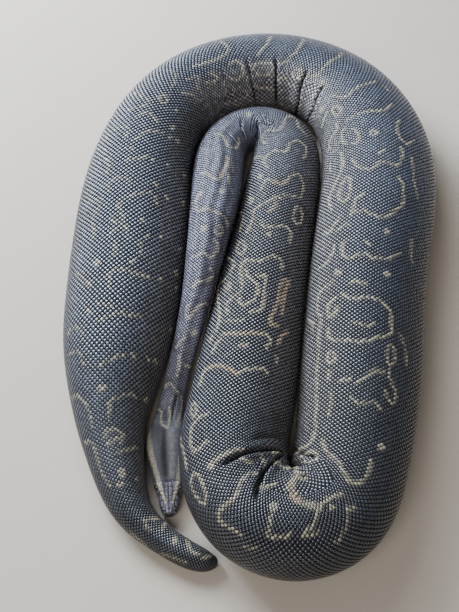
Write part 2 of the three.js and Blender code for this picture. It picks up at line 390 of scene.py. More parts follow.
def read_grid(grid, s, f):
    """Values of a grid at distances s and fractions round f (-0.5 to 0.5, 0 on the back's midline), by
    blending the four nodes around each address."""
    r = np.clip(np.interp(s, row_s, np.arange(ROWS)), 0, ROWS - JUST_INSIDE)
    c = np.clip((f + 0.5) * (COLUMNS - 1), 0, COLUMNS - JUST_INSIDE)
    i, j = r.astype(int), c.astype(int)
    a, b = (r - i)[..., None], (c - j)[..., None]
    return (
        grid[i, j] * (1 - a) * (1 - b)
        + grid[i + 1, j] * a * (1 - b)
        + grid[i, j + 1] * (1 - a) * b
        + grid[i + 1, j + 1] * a * b
    )


smooth_normals = grid_normals(smooth_grid)
grid_in_view = to_view(smooth_grid)
towards_camera = ((CAMERA_AT - smooth_grid) * smooth_normals).sum(-1) > 0
print("share of the grid that faces the camera", round(towards_camera.mean(), 2))

# %% [markdown]
# ## From the view to the body
#
# Folds and markings are easiest to place where they are seen, but they have to live on the body, so
# that they stay right from every side. Each is drawn as a few points in the view, and address() finds
# the place on the body that each point falls on: the node nearest to it in the view, among those of
# the named length that face the camera, and then one correcting step.

# %% Addresses of view points
FAR = 1e9  # squared gap given to nodes that can't be chosen
LARGEST_STEP = np.array([0.004, 0.006])  # of the correction, along and round the body
LENGTHS = {  # first and last station of the lengths that strokes are drawn on
    "tail": (0, 7), "hind": (5, 14.5), "top": (12.5, 19), "middle": (17.5, 25.5), "near": (23.2, 29.6),
    "fore": (28, 35.2), "turn": (33.4, 38.6), "neck": (36.6, 46), "head": (42.5, 55),
}


def nearest_node(point, seen, shown):
    """Row and column of the shown node that is seen nearest to a point."""
    gap = ((seen - point) ** 2).sum(-1)
    gap[~shown] = FAR
    return np.unravel_index(gap.argmin(), gap.shape)


def stepped(point, seen, ring_s, i, j, largest, weakest):
    """Address of a point seen near node i, j. The slopes of what is seen, along and round the body, come
    from the neighbours, and least squares gives the step along them that closes the gap; slopes weaker
    than a share of the strongest are left out, and the step is kept small."""
    i, j = np.clip(i, 1, len(ring_s) - 2), np.clip(j, 1, COLUMNS - 2)
    by_s = (seen[i + 1, j] - seen[i - 1, j]) / (ring_s[i + 1] - ring_s[i - 1])
    by_f = (seen[i, j + 1] - seen[i, j - 1]) / (2 / (COLUMNS - 1))
    step = np.linalg.lstsq(np.column_stack([by_s, by_f]), point - seen[i, j], rcond=weakest)[0]
    return np.array([ring_s[i], column_f[j]]) + np.clip(step, -largest, largest)


def address(points, length):
    """Distance along the spine and fraction round the body of view points that lie on one length."""
    first_s, last_s = at_station(LENGTHS[length])
    rows = np.flatnonzero((row_s >= first_s) & (row_s <= last_s))
    found = []
    for point in np.asarray(points, float):
        i, j = nearest_node(point, grid_in_view[rows], towards_camera[rows])
        found.append(stepped(point, grid_in_view, row_s, rows[i], j, LARGEST_STEP, 1e-3))
    return np.array(found)


ROUGH_METRES = (1, 0.5)  # metres for a step of one along s and of one in f, near enough to count points
TRIAL_POINT = (275, 240)


def rounded(corners, closed=False, step=0.0025):
    """A smooth line through the corners (Catmull-Rom: each piece leaves a corner in the direction from
    the one before to the one after), as evenly spaced points."""
    p = np.asarray(corners, float)
    before, after = (p[-1], p[:2]) if closed else (2 * p[0] - p[1], 2 * p[-1] - p[-2])
    q = np.vstack([before, p, after])
    pieces = []
    for a, b, c, d in zip(q[:-3], q[1:-2], q[2:-1], q[3:]):
        n = max(2, int(np.linalg.norm((c - b) * ROUGH_METRES) / step))
        k = np.linspace(0, 1, n, endpoint=False)[:, None]
        squared, cubed = (2 * a - 5 * b + 4 * c - d) * k**2, (3 * b - a - 3 * c + d) * k**3
        pieces.append(0.5 * (2 * b + (c - a) * k + squared + cubed))
    return np.vstack([*pieces, q[-2:-1]])


print("view point", TRIAL_POINT, "lies", np.round(address([TRIAL_POINT], "fore")[0], 3), "on the fore trunk")

# %% [markdown]
# ## Metric distance on the body
#
# A stroke's width has to be the same in millimetres everywhere, so distances are measured on the
# skin: differences along the spine are multiplied by how much the skin is stretched there, and
# differences round the body by the length of that side.

# %% Distances to a line on the body
FAR_OFF = 1.0  # distance given to what is out of a line's reach
stretch_grid = np.linalg.norm(np.gradient(smooth_grid, axis=0), axis=-1) / np.gradient(row_s)[:, None]


def side_length(s, f):
    """Length of the side, from the back's midline to the belly's, that an address is on."""
    return np.where(f < 0, np.interp(s, row_s, side_left), np.interp(s, row_s, side_right))


def distance_to(line, s, f, reach=0.03):
    """Distance in metres from addresses (s, f) to a line of addresses, and how far along that line the
    nearest point is (0 to 1). Beyond reach along the spine the distance is left large."""
    near = np.flatnonzero((s > line[:, 0].min() - reach) & (s < line[:, 0].max() + reach))
    distance, share = np.full(len(s), FAR_OFF), np.zeros(len(s))
    if not len(near):
        return distance, share
    mid = line[len(line) // 2]
    stretch = read_grid(stretch_grid[..., None], mid[:1], mid[1:])[0, 0]
    metric = np.array([stretch, 2 * float(side_length(mid[0], mid[1]))])
    nodes = line * metric
    here = np.column_stack([s[near], f[near]]) * metric
    best, where = np.full(len(near), FAR_OFF), np.zeros(len(near))
    for k, (a, b) in enumerate(zip(nodes[:-1], nodes[1:])):
        ab = b - a
        t = np.clip(((here - a) @ ab) / max(ab @ ab, TINY), 0, 1)
        gap = np.linalg.norm(here - a - t[:, None] * ab, axis=1)
        closer = gap < best
        best[closer] = gap[closer]
        where[closer] = (k + t[closer]) / (len(nodes) - 1)
    distance[near], share[near] = best, where
    return distance, share


print("skin stretch in the bends from", np.round([stretch_grid.min(), stretch_grid.max()], 2))

# %% [markdown]
# ## Folds
#
# Where the body doubles back there is more skin than room, and it tucks into creases that fan out
# from the inside of the bend. Cloth simulation could find such folds, but not in known places. Here
# each crease is a line on the body with a depth and a width, and the skin sinks along it with a
# bell-shaped profile and rises a little on both sides.

# %% Creases
# For each crease: the length of the body it is on, corners as seen by the camera, depth, half width.
CREASES = {
    "near_main": ("near", [(221, 467), (229, 461), (237, 457), (246, 453), (256, 451), (271, 450),
                           (284, 453)], 0.0085, 0.0026),
    "near_second": ("near", [(256, 501), (257, 492), (259, 484), (262, 477), (267, 469), (274, 462),
                             (284, 455)], 0.0080, 0.0025),
    "near_third": ("near", [(286, 458), (290, 465), (298, 471), (304, 476), (309, 483),
                            (312, 490)], 0.0065, 0.0023),
    "near_fourth": ("near", [(292, 450), (305, 455), (318, 458)], 0.0035, 0.0028),
    "near_fifth": ("near", [(286, 440), (270, 437), (252, 440)], 0.0030, 0.0035),
    "top_first": ("top", [(247, 58), (250, 72), (253, 88), (256, 106)], 0.0060, 0.0021),
    "top_second": ("top", [(276, 58), (276, 82), (277, 107)], 0.0078, 0.0022),
    "top_third": ("top", [(308, 70), (303, 80), (300, 90), (298, 105), (296, 116)], 0.0084, 0.0023),
    "top_fourth": ("top", [(326, 84), (320, 92), (316, 100), (312, 112), (308, 123)], 0.0066, 0.0022),
    "top_fifth": ("top", [(222, 70), (228, 85), (232, 95), (235, 107)], 0.0032, 0.0024),
    "turn_first": ("turn", [(241, 120), (243, 133), (247, 147)], 0.0050, 0.0020),
    "turn_second": ("turn", [(257, 122), (258, 131), (254, 141)], 0.0042, 0.0020),
    "turn_pocket": ("turn", [(261, 122), (269, 125), (277, 120)], 0.0036, 0.0030),
    "turn_third": ("turn", [(228, 133), (236, 143), (242, 152)], 0.0028, 0.0022),
    "nape": ("head", [(177.5, 392), (175.5, 401), (173.5, 412), (171.5, 426)], 0.0016, 0.0022),
}
RIM_SHARE = 0.40  # height of the rise beside a crease against its depth
RIM_SPREAD = 3.2  # and how much wider it is
SHARPNESS = 1.3  # 2 would give a rounded bottom, 1 a knife-sharp one
CREASE_REACH = 9  # half widths
END_SHARE, END_POWER = 1.15, 4  # at its ends a crease keeps 0.15 of its depth, and it deepens quickly


def crease_relief(line, depth, half_width, s, f):
    """Depth times a narrow peak of the distance, fading out at both ends of the line, plus a wider bell
    for the rise on both sides."""
    distance, share = distance_to(line, s, f, CREASE_REACH * half_width)
    ends = np.clip(END_SHARE - np.abs(2 * share - 1) ** END_POWER, 0, 1)
    sink = np.exp(-((distance / half_width) ** SHARPNESS))
    rise = np.exp(-((distance / (RIM_SPREAD * half_width)) ** 2))
    return depth * ends * (RIM_SHARE * rise - (1 + RIM_SHARE) * sink)


grid_s, grid_f = np.repeat(row_s, COLUMNS), np.tile(column_f, ROWS)
relief = np.zeros(ROWS * COLUMNS)
for part, corners, depth, half_width in CREASES.values():
    relief += crease_relief(rounded(address(corners, part)), depth, half_width, grid_s, grid_f)
relief = relief.reshape(ROWS, COLUMNS)
print(len(CREASES), "creases, the deepest", round(-1000 * relief.min(), 1), "mm")

# %% [markdown]
# The neck is thin-skinned, and the long back muscles show as soft ridges beside the spine. A cosine
# across the back that wanders a little from side to side, faded in and out along the neck, is enough
# for these.

# %% Neck muscles
MUSCLE_SPACING = 0.0205
MUSCLE_HEIGHT = 0.0009
MUSCLE_REACH = 0.036  # from the back's midline
MUSCLE_STATIONS, MUSCLE_SHARES = (36.5, 38.5, 43.5, 45.5), (0, 1, 1, 0)
WANDER = (0.0030, 0.031, 0.0), (0.0018, 0.0135, 1.0)  # reach, length and phase of two waves
arc_grid = 2 * column_f[None, :] * np.where(column_f < 0, side_left[:, None], side_right[:, None])
neck_share = np.interp(sizes["station"], MUSCLE_STATIONS, MUSCLE_SHARES)[:, None]
wander = sum(amplitude * np.sin(row_s / length + phase) for amplitude, length, phase in WANDER)[:, None]
ridges = np.cos(2 * np.pi * (arc_grid + wander) / MUSCLE_SPACING)
relief += neck_share * (MUSCLE_HEIGHT * ridges * np.exp(-((arc_grid / MUSCLE_REACH) ** 4)))
print("ridges", 2000 * MUSCLE_HEIGHT, "mm from hollow to crest")

# %% [markdown]
# ## Head relief
#
# The head is where a python is recognised: a long wedge with swollen jaw muscles behind, a furrow
# between them, a ridge from the nostril over the eye, a hollow in front of the eye, and a mouth line
# that rises towards the corner. Each of these is a bell curve or a band in three head measures: how
# far behind the snout, how far out from the midline, and how high above the chin.

# %% Head measures and relief
EYE_BACK, EYE_HEIGHT, EYE_RADIUS = 0.043, 0.0215, 0.005
MOUTH_LINE = np.array([  # behind the snout, height
    (-0.010, 0.0092), (0.0, 0.0094), (0.016, 0.0082), (0.045, 0.0086), (0.080, 0.0115), (0.104, 0.0145),
    (0.116, 0.0134), (0.13, 0.011),
])
NOSTRIL_BACK, NOSTRIL_OUT, NOSTRIL_HEIGHT = 0.0085, 0.0095, 0.0165


def bell(distance, half_width):
    """One at distance zero, falling smoothly to nothing at about twice the half width."""
    return np.exp(-((distance / half_width) ** 2))


def band(value, low, high, soft):
    """One between low and high and zero outside, with soft edges."""
    return 1 / (1 + np.exp(-(value - low) / soft)) / (1 + np.exp((value - high) / soft))


back = (LENGTH - row_s)[:, None]  # behind the snout
out = np.abs(across)
height = smooth_grid[..., 2]
mouth = np.interp(back, *MOUTH_LINE.T)
on_side = band(out / np.maximum(sizes["half_width"][:, None] - COAT, 1e-4), 0.62, 9, 0.05)
on_top = (lifted > 0) * 1.0
head_relief = (
    0.0016 * bell(back - 0.090, 0.020) * bell(out - 0.021, 0.010) * on_top  # jaw muscles
    - 0.0030 * band(back, 0.062, 0.118, 0.006) * bell(out, 0.0050) * on_top  # furrow between them
    + 0.0008 * band(back, 0.008, 0.034, 0.003) * bell(out - 0.0105 - 0.10 * back, 0.0022) * on_top  # ridge
    - 0.0016 * bell(back - 0.030, 0.008) * bell(height - 0.019, 0.0045) * on_side  # hollow before the eye
    + 0.0012 * bell(back - 0.044, 0.009) * bell(height - 0.0285, 0.0035) * on_top  # brow
    - 0.0010 * bell(back - 0.052, 0.012) * bell(out, 0.006) * on_top  # between the brows
    + 0.0007 * band(back, 0.004, 0.108, 0.004) * bell(height - mouth - 0.0032, 0.0024) * on_side  # upper lip
    - 0.0006 * band(back, 0.004, 0.108, 0.004) * bell(height - mouth + 0.0030, 0.0024) * on_side  # lower lip
    - 0.0020 * band(back, -0.02, 0.112, 0.002) * bell(height - mouth, 0.0008) * (out > 0.001)  # mouth line
    - 0.0012 * band(back, 0.010, 0.060, 0.004) * bell(out, 0.0016) * (lifted < 0)  # chin groove
)
from_eye = np.sqrt((back - EYE_BACK) ** 2 + (height - EYE_HEIGHT) ** 2)
nostril_side = (back - NOSTRIL_BACK) ** 2 + (height - NOSTRIL_HEIGHT) ** 2
from_nostril = np.sqrt(nostril_side + 0.5 * (out - NOSTRIL_OUT) ** 2)
head_relief += -0.0012 * bell(from_eye, 0.0046) * on_side + 0.0006 * bell(from_eye - 0.0068, 0.0012) * on_side
head_relief -= 0.0026 * bell(from_nostril, 0.0011)
relief += head_relief * np.clip((0.135 - back) / 0.01, 0, 1)
print("head relief from", round(1000 * head_relief.min(), 1), "to", round(1000 * head_relief.max(), 1), "mm")

# %% The skin surface
skin_grid = smooth_grid + smooth_normals * relief[..., None]
lowest = smooth_grid[..., 2].min()
skin_grid[..., 2] = np.maximum(skin_grid[..., 2], lowest)
skin_grid[:, 0] = skin_grid[:, -1] = (skin_grid[:, 0] + skin_grid[:, -1]) / 2
skin_normals = grid_normals(skin_grid)
print("skin between heights", np.round([skin_grid[..., 2].min(), skin_grid[..., 2].max()], 4))


# %% Mesh helper
def make_piece(name, points, faces, material, colours=None, uv=None):
    """A smooth-shaded object at the origin from arrays: points, faces with the same number of corners,
    point colours by name, and one texture coordinate for each corner of each face."""
    mesh = bpy.data.meshes.new(name)
    mesh.vertices.add(len(points))
    mesh.vertices.foreach_set("co", np.asarray(points, np.float32).ravel())
    mesh.loops.add(faces.size)
    mesh.loops.foreach_set("vertex_index", np.asarray(faces, np.int32).ravel())
    mesh.polygons.add(len(faces))
    mesh.polygons.foreach_set("loop_start", np.arange(0, faces.size, faces.shape[1], dtype=np.int32))
    mesh.update(calc_edges=True)
    mesh.polygons.foreach_set("use_smooth", np.ones(len(faces), bool))
    for label, rgba in (colours or {}).items():
        layer = mesh.color_attributes.new(label, "FLOAT_COLOR", "POINT")
        layer.data.foreach_set("color", np.asarray(rgba, np.float32).ravel())
    if uv is not None:
        mesh.uv_layers.new(name="OFBake").data.foreach_set("uv", np.asarray(uv, np.float32).ravel())
    piece = bpy.data.objects.new(name, mesh)
    piece.data.materials.append(material)
    bpy.context.scene.collection.objects.link(piece)
    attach(piece, "root")
    return piece


# %% [markdown]
# ## Markings
#
# A rock python's back carries dark blotches, each edged by a line of pale scales that is only one or
# two scales wide. An image texture would blur at that size, and a noise pattern wouldn't look drawn.
# So each line is a stroke on the body, and every scale asks how far it is from the nearest one. The
# darkening beside a line comes from the same distance, which gives the blotches their dark edges.

# %% Pale lines
LINE_WIDTH = 0.0054
# For each length of the body: corners of its pale lines, as seen by the camera.
PALE_LINES = {"middle": [
    [(337, 123), (337, 130), (333, 136), (330, 142), (329, 150)],
    [(346, 129), (342, 133), (342, 141), (347, 144)], [(354, 129), (358, 134), (358, 142), (353, 144)],
    [(322, 127), (325, 117), (328, 112)], [(378, 153), (384, 150)],
    [(352, 159), (355, 164), (362, 168), (369, 170), (375, 166), (381, 162), (389, 163), (398, 166),
     (401, 160), (403, 154), (401, 148)],
    [(399, 120), (397, 127), (398, 134), (402, 140), (408, 145), (414, 139)],
    [(341, 152), (343, 163), (341, 172), (336, 182), (332, 191), (329, 200), (331, 210)],
    [(350, 178), (350, 192), (346, 200), (341, 201), (339, 196), (341, 187), (346, 178), (350, 178)],
    [(330, 165), (331, 172)],
    [(399, 177), (403, 184), (403, 193), (404, 200), (401, 207), (395, 211), (388, 215), (380, 217),
     (371, 214), (363, 210), (356, 212), (350, 214)],
    [(352, 212), (354, 205), (356, 198), (363, 194)],
    [(340, 217), (336, 223), (331, 230), (327, 234), (323, 233)], [(338, 231), (343, 227), (348, 224)],
    [(334, 246), (333, 253), (329, 259), (324, 265), (319, 269)],
    [(343, 242), (342, 250), (344, 257), (350, 258), (358, 255), (366, 254), (373, 258), (380, 258),
     (387, 260), (393, 257), (400, 254)],
    [(364, 241), (370, 245)], [(350, 284), (356, 281), (362, 283), (366, 285)],
    [(341, 294), (346, 297), (356, 299), (366, 297), (375, 299), (383, 303), (388, 308), (391, 315),
     (391, 325), (392, 332), (385, 336), (376, 338), (366, 341), (358, 342), (348, 340), (340, 341),
     (333, 339), (328, 334), (329, 328)],
    [(335, 298), (330, 303), (328, 310), (330, 317), (335, 314), (337, 308)], [(340, 381), (349, 379)],
    [(357, 383), (364, 379), (371, 373), (378, 370), (383, 373)],
], "top": [
    [(194, 66), (203, 64), (212, 61), (221, 57), (227, 52), (227, 46), (221, 42)],
    [(230, 64), (236, 61), (242, 64), (243, 71), (241, 77), (236, 80), (230, 78)],
    [(254, 64), (262, 63), (270, 63), (273, 68), (270, 74), (262, 75), (255, 72), (254, 64)],
    [(256, 87), (264, 88), (272, 87)], [(271, 37), (267, 44), (263, 48), (258, 57)],
    [(279, 64), (286, 62), (292, 56), (297, 51), (301, 44), (304, 40)],
    [(310, 76), (317, 75), (323, 68), (330, 62), (337, 58), (343, 54)],
    [(332, 95), (340, 98), (347, 96), (354, 90), (360, 86), (367, 84), (376, 82)],
    [(347, 121), (354, 116), (362, 113), (371, 111), (380, 111), (387, 109), (393, 105)],
    [(384, 87), (389, 91)], [(206, 83), (213, 82), (216, 80)], [(210, 72), (215, 75), (220, 79)],
], "fore": [
    [(267, 167), (264, 161), (267, 156), (273, 151), (279, 151), (286, 152), (290, 144), (296, 141),
     (301, 142), (306, 147), (306, 154), (303, 159)],
    [(261, 190), (264, 183), (267, 180), (273, 181), (279, 184), (286, 182), (291, 176), (297, 174),
     (301, 178), (304, 186), (302, 194)],
    [(247, 233), (250, 226), (253, 219), (254, 210), (260, 206), (268, 202), (274, 197), (281, 198)],
    [(260, 221), (264, 226), (271, 227), (280, 226), (287, 227), (291, 233), (289, 243)],
    [(228, 257), (234, 264), (231, 271), (226, 279), (219, 286), (218, 296), (219, 306), (220, 316),
     (218, 326), (216, 331)],
    [(282, 269), (282, 263), (278, 258), (272, 256), (265, 260), (258, 261), (251, 260), (245, 261),
     (241, 268), (241, 276), (242, 284), (242, 289), (238, 293), (231, 298), (227, 304), (228, 314)],
    [(246, 268), (247, 275), (251, 280), (256, 283), (258, 289), (256, 296), (251, 302), (245, 305),
     (239, 303), (239, 299)],
    [(256, 277), (262, 275), (265, 275), (265, 284), (264, 294), (263, 303), (262, 308), (258, 310),
     (251, 312)],
    [(241, 212), (243, 216), (242, 223), (240, 231)],
    [(212, 353), (216, 345), (221, 338), (224, 334), (232, 333), (239, 334), (248, 333), (256, 333),
     (265, 334), (270, 338), (270, 342), (266, 348)],
    [(199, 386), (201, 381), (203, 374), (208, 368), (215, 366), (222, 366), (229, 369), (236, 373),
     (245, 370), (254, 369), (264, 369), (267, 375)],
], "turn": [
    [(215, 134), (221, 135), (225, 140), (229, 147), (236, 148), (239, 142), (238, 137)],
    [(265, 144), (262, 139), (264, 133), (269, 130), (275, 131), (281, 128), (284, 122), (287, 117),
     (293, 117), (297, 121), (298, 127)],
    [(301, 129), (305, 134), (308, 137)],
], "neck": [
    [(227, 157), (226, 166), (223, 173), (218, 180), (213, 178), (208, 174), (201, 173)],
    [(199, 193), (196, 202), (198, 211), (204, 209), (210, 210), (217, 213), (224, 217), (228, 226)],
    [(214, 240), (218, 246), (216, 253), (210, 257), (203, 252), (198, 255), (193, 256)],
    [(210, 269), (213, 275), (209, 280), (203, 281), (198, 282), (193, 286)],
    [(209, 306), (203, 304), (197, 308), (193, 313), (189, 319), (186, 315), (186, 309), (190, 305)],
    [(184, 338), (179, 343), (176, 348)], [(180, 355), (179, 368), (177, 376)],
    [(185, 365), (190, 367), (196, 365), (199, 361)],
    [(165.5, 386.5), (168, 384), (171, 384), (175, 389), (178, 393)],
], "near": [
    [(208, 414), (200, 417), (194, 423), (191, 432), (191, 442), (194, 451), (201, 447), (208, 441)],
    [(193, 474), (191, 482), (194, 492), (199, 500), (205, 504), (206, 494), (203, 484), (199, 476),
     (193, 474)],
    [(181, 438), (184, 452), (187, 468)], [(212, 462), (220, 457), (228, 453), (236, 450), (243, 450)],
    [(241, 458), (246, 461), (251, 463)], [(272, 453), (279, 452)],
    [(222, 508), (228, 503), (234, 498), (238, 491), (240, 484), (244, 478), (250, 473), (256, 474)],
    [(220, 508), (218, 515), (221, 522), (228, 527), (236, 531), (242, 536)],
    [(260, 487), (268, 487), (275, 484)],
    [(271, 515), (270, 522), (269, 529), (266, 533), (271, 537), (280, 537), (288, 536), (290, 532)],
    [(296, 478), (292, 483), (293, 492), (296, 500), (303, 503), (309, 504), (314, 507)],
    [(276, 462), (281, 466), (287, 469), (293, 468), (299, 472), (303, 478)],
    [(301, 458), (304, 455), (310, 452), (316, 453), (317, 459), (311, 462), (303, 462)],
    [(291, 461), (295, 455), (299, 450), (306, 447), (312, 441), (315, 432)],
    [(322, 440), (325, 448), (330, 455), (337, 461), (342, 469), (346, 477), (350, 482), (357, 483),
     (363, 481), (367, 475), (370, 467), (371, 460)],
    [(303, 537), (307, 531), (312, 526), (316, 519), (318, 511)],
    [(318, 512), (322, 504), (330, 498), (342, 494)],
], "tail": [
    [(144, 521), (150, 519), (158, 519)], [(162, 530), (164, 525), (168, 523), (172, 526)],
    [(187, 541), (189, 547), (194, 553), (198, 554)], [(203, 558), (210, 556)],
]}
print(sum(map(len, PALE_LINES.values())), "pale lines")

# %% Dim and warm lines
# Dim lines are brown against the ground rather than cream.
DIM_LINES = {"hind": [
    [(181, 94), (187, 93), (193, 96), (200, 101)], [(187, 80), (192, 78), (197, 77), (198, 85), (199, 90)],
    [(172, 70), (175, 77), (174, 84), (170, 88)],
    [(127, 96), (135, 94), (143, 97), (148, 102), (143, 106), (130, 110)],
    [(136, 118), (141, 115), (148, 113), (154, 117), (159, 123)],
    [(134, 141), (139, 137), (143, 133), (150, 131), (158, 132), (164, 134)],
    [(106, 139), (110, 133), (117, 129), (124, 127), (128, 130), (125, 137)],
    [(126, 149), (131, 148), (135, 150)], [(126, 160), (134, 159), (142, 158), (147, 156)],
    [(105, 148), (106, 158), (109, 166), (107, 172)],
    [(109, 190), (108, 185), (112, 180), (119, 177), (125, 179), (130, 184)],
    [(89, 202), (95, 200), (102, 201), (98, 207), (95, 214), (93, 223), (95, 232), (94, 238)],
    [(151, 192), (141, 193), (131, 195), (123, 199), (117, 206), (121, 212), (122, 219), (116, 222),
     (110, 220)],
    [(155, 195), (157, 206)], [(109, 236), (114, 231), (121, 227), (127, 226), (127, 232)],
    [(114, 240), (115, 248), (114, 255)], [(149, 233), (146, 237)], [(140, 240), (141, 255)],
    [(104, 276), (111, 272), (119, 269), (127, 270), (134, 273), (142, 275), (148, 277)],
    [(109, 278), (109, 286)], [(75, 273), (81, 274), (86, 281), (90, 286)],
    [(97, 303), (105, 304), (111, 307)], [(98, 320), (106, 317), (114, 314), (121, 312)],
    [(124, 315), (132, 315), (140, 316)], [(68, 334), (73, 328), (79, 327), (83, 332), (83, 339)],
    [(71, 353), (77, 352), (81, 357), (83, 365)],
    [(100, 366), (106, 362), (113, 358), (119, 356), (124, 354)],
    [(107, 403), (115, 399), (123, 396), (130, 394), (136, 397)], [(110, 405), (109, 417)],
    [(72, 399), (78, 396), (84, 401), (88, 409), (91, 418), (93, 428)],
    [(104, 436), (109, 429), (117, 431), (123, 434), (121, 442), (116, 438), (108, 444)],
    [(85, 443), (91, 442), (95, 449), (98, 460), (101, 470), (106, 480), (111, 487)],
    [(117, 453), (123, 451), (130, 449), (137, 447)], [(136, 478), (138, 485)],
    [(141, 497), (142, 505), (145, 512)],
], "middle": [
    [(354, 322), (360, 324), (367, 326), (374, 322)],
    [(412, 158), (413, 168), (414, 180), (416, 190), (418, 200)], [(412, 240), (411, 255), (412, 262)],
    [(308, 320), (313, 322), (313, 330)],
    [(334, 280), (328, 286), (322, 291), (318, 299), (318, 310), (321, 320), (320, 330), (319, 340),
     (319, 352), (318, 362), (317, 382), (317, 400), (316, 415), (316, 430)],
    [(395, 355), (394, 362), (391, 365), (388, 362), (387, 355), (388, 348), (391, 345), (394, 348),
     (395, 355)],
    [(390, 366), (389, 376), (393, 386), (396, 396), (393, 404), (388, 400), (385, 390)],
    [(399, 335), (404, 343), (406, 355), (406, 365)], [(330, 370), (329, 380)],
    [(330, 392), (331, 404), (328, 416)], [(350, 398), (360, 404), (372, 402), (380, 410)],
], "fore": [
    [(254, 158), (264, 158)], [(283, 195), (292, 196), (301, 198)], [(226, 321), (236, 321), (243, 320)],
    [(276, 355), (277, 363)],
], "neck": [
    [(229, 176), (229, 184), (233, 193)], [(233, 164), (233, 173)],
], "near": [
    [(261, 454), (263, 461), (265, 467)], [(307, 537), (315, 534), (320, 530)],
    [(347, 513), (346, 525), (342, 535), (336, 543)], [(244, 548), (256, 547)],
], "tail": [
    [(162, 554), (172, 557), (186, 562)], [(130, 532), (140, 540), (146, 545)], [(146, 526), (150, 530)],
]}
# Warm lines lie on pale ones, where these have an orange cast.
WARM_LINES = {"fore": [
    [(286, 279), (281, 284), (279, 292), (278, 301), (274, 311), (270, 319), (272, 325), (278, 325)],
    [(286, 279), (289, 282), (286, 289), (284, 298), (283, 308), (282, 315)],
    [(227, 334), (239, 334), (252, 333), (264, 334)], [(205, 371), (215, 366), (224, 367), (236, 373)],
    [(240, 345), (247, 345)], [(268, 212), (274, 207), (275, 202)], [(278, 343), (282, 336), (287, 332)],
    [(274, 182), (281, 184), (287, 181)],
], "near": [
    [(294, 480), (292, 488), (294, 496), (299, 501)],
], "neck": [
    [(227, 158), (226, 166), (222, 174)], [(203, 209), (211, 210)],
]}
print(sum(map(len, DIM_LINES.values())), "dim and", sum(map(len, WARM_LINES.values())), "warm lines")

# %% Rings and spots
# Rings: middle, half sizes across and down the view.
PALE_RINGS = {
    "middle": [((331, 358), 4, 5)],
    "top": [((298, 74), 4.5, 5.5), ((337, 111), 4.5, 4.5)],
    "fore": [((241, 248), 4, 6.3), ((298, 216), 4.4, 9), ((228, 287), 2.4, 4)],
    "neck": [((219, 231), 4, 4.5)],
    "near": [((194, 410), 2.6, 6.5)],
    "hind": [((163, 99), 4.5, 4.5)],
}
# Solid spots: half sizes across and down the view, then the middles of the spots of that size.
PALE_SPOTS = {
    "middle": {(6.5, 4.5): [(374, 132.5)], (3.2, 3): [(387, 232), (387, 275)], (3.4, 3.4): [(338, 272)]},
    "top": {(2, 2): [(281, 79)], (2.2, 2.2): [(324, 83)], (2.6, 2.6): [(322, 109)]},
    "fore": {
        (2.6, 6.6): [(251, 200)], (2.4, 3.6): [(260.5, 177)], (2.6, 2.4): [(268, 234)],
        (1.8, 3.6): [(211, 339)],
    },
    "turn": {(1.8, 4.6): [(248.6, 115)]},
    "neck": {
        (3.6, 3.2): [(203, 228)], (2, 2.8): [(222, 191)], (2, 2.4): [(200.5, 195)],
        (3.2, 4.6): [(194, 333)],
    },
    "near": {
        (4, 5): [(211, 465)], (4.6, 6.4): [(273, 507)], (3.4, 4.4): [(381.5, 448)],
        (2, 2): [(332, 508), (348, 509), (354, 508)],
    },
    "hind": {
        (1.4, 1.6): [(173, 128), (170, 137), (178, 142), (153, 160), (168, 165), (155, 184), (167, 198),
         (184, 176), (142, 221), (133, 262), (148, 278), (160, 279), (176, 111), (132, 356), (148, 359),
         (155, 362), (146, 400)],
        (1.6, 2): [(183, 203), (176, 273), (176, 288)], (1.4, 1.8): [(161, 237)], (1.4, 2): [(180, 249)],
        (1.5, 2): [(171, 329)], (3.6, 3.6): [(89, 312)], (4, 5): [(97, 263)], (6, 3.6): [(102, 388)],
        (3.6, 5.4): [(121.5, 473)], (3.6, 9.6): [(124.5, 499)], (3, 4): [(127, 522)],
    },
    "tail": {(3, 4): [(175, 541)], (1.8, 1.8): [(215, 553)]},
}
print("rings and spots on", list(PALE_SPOTS))

# %% Strokes on the body
RING_CORNERS = 8
FINE_STEP = 0.001  # between the points of a spot's outline


def ring_corners(centre, half_across, half_down):
    """Corners round an ellipse in the view."""
    angle = np.linspace(0, 2 * np.pi, RING_CORNERS, endpoint=False)
    return np.array(centre) + np.column_stack([half_across * np.cos(angle), half_down * np.sin(angle)])


strokes = {"pale": [], "dim": [], "warm": [], "spot": []}
for kind, table in (("pale", PALE_LINES), ("dim", DIM_LINES), ("warm", WARM_LINES)):
    for part, lines in table.items():
        strokes[kind] += [rounded(address(corners, part)) for corners in lines]
for part, ellipses in PALE_RINGS.items():
    strokes["pale"] += [rounded(address(ring_corners(*ellipse), part), closed=True) for ellipse in ellipses]
for part, groups in PALE_SPOTS.items():
    for (half_across, half_down), middles in groups.items():
        for middle in middles:
            outline = address(ring_corners(middle, half_across / 2, half_down / 2), part)  # strokes widen it
            strokes["spot"].append(rounded(outline, closed=True, step=FINE_STEP))
print({kind: len(lines) for kind, lines in strokes.items()})

# %% [markdown]
# ## Marks that the view doesn't show
#
# What faces away from the camera still needs its pattern. Flank marks repeat along a python about
# every ten centimetres: an arch low on the side, often with a spot inside it. No two are alike, so
# their places and sizes are drawn by chance. They are laid in body coordinates, and kept only where
# the camera can't see them.

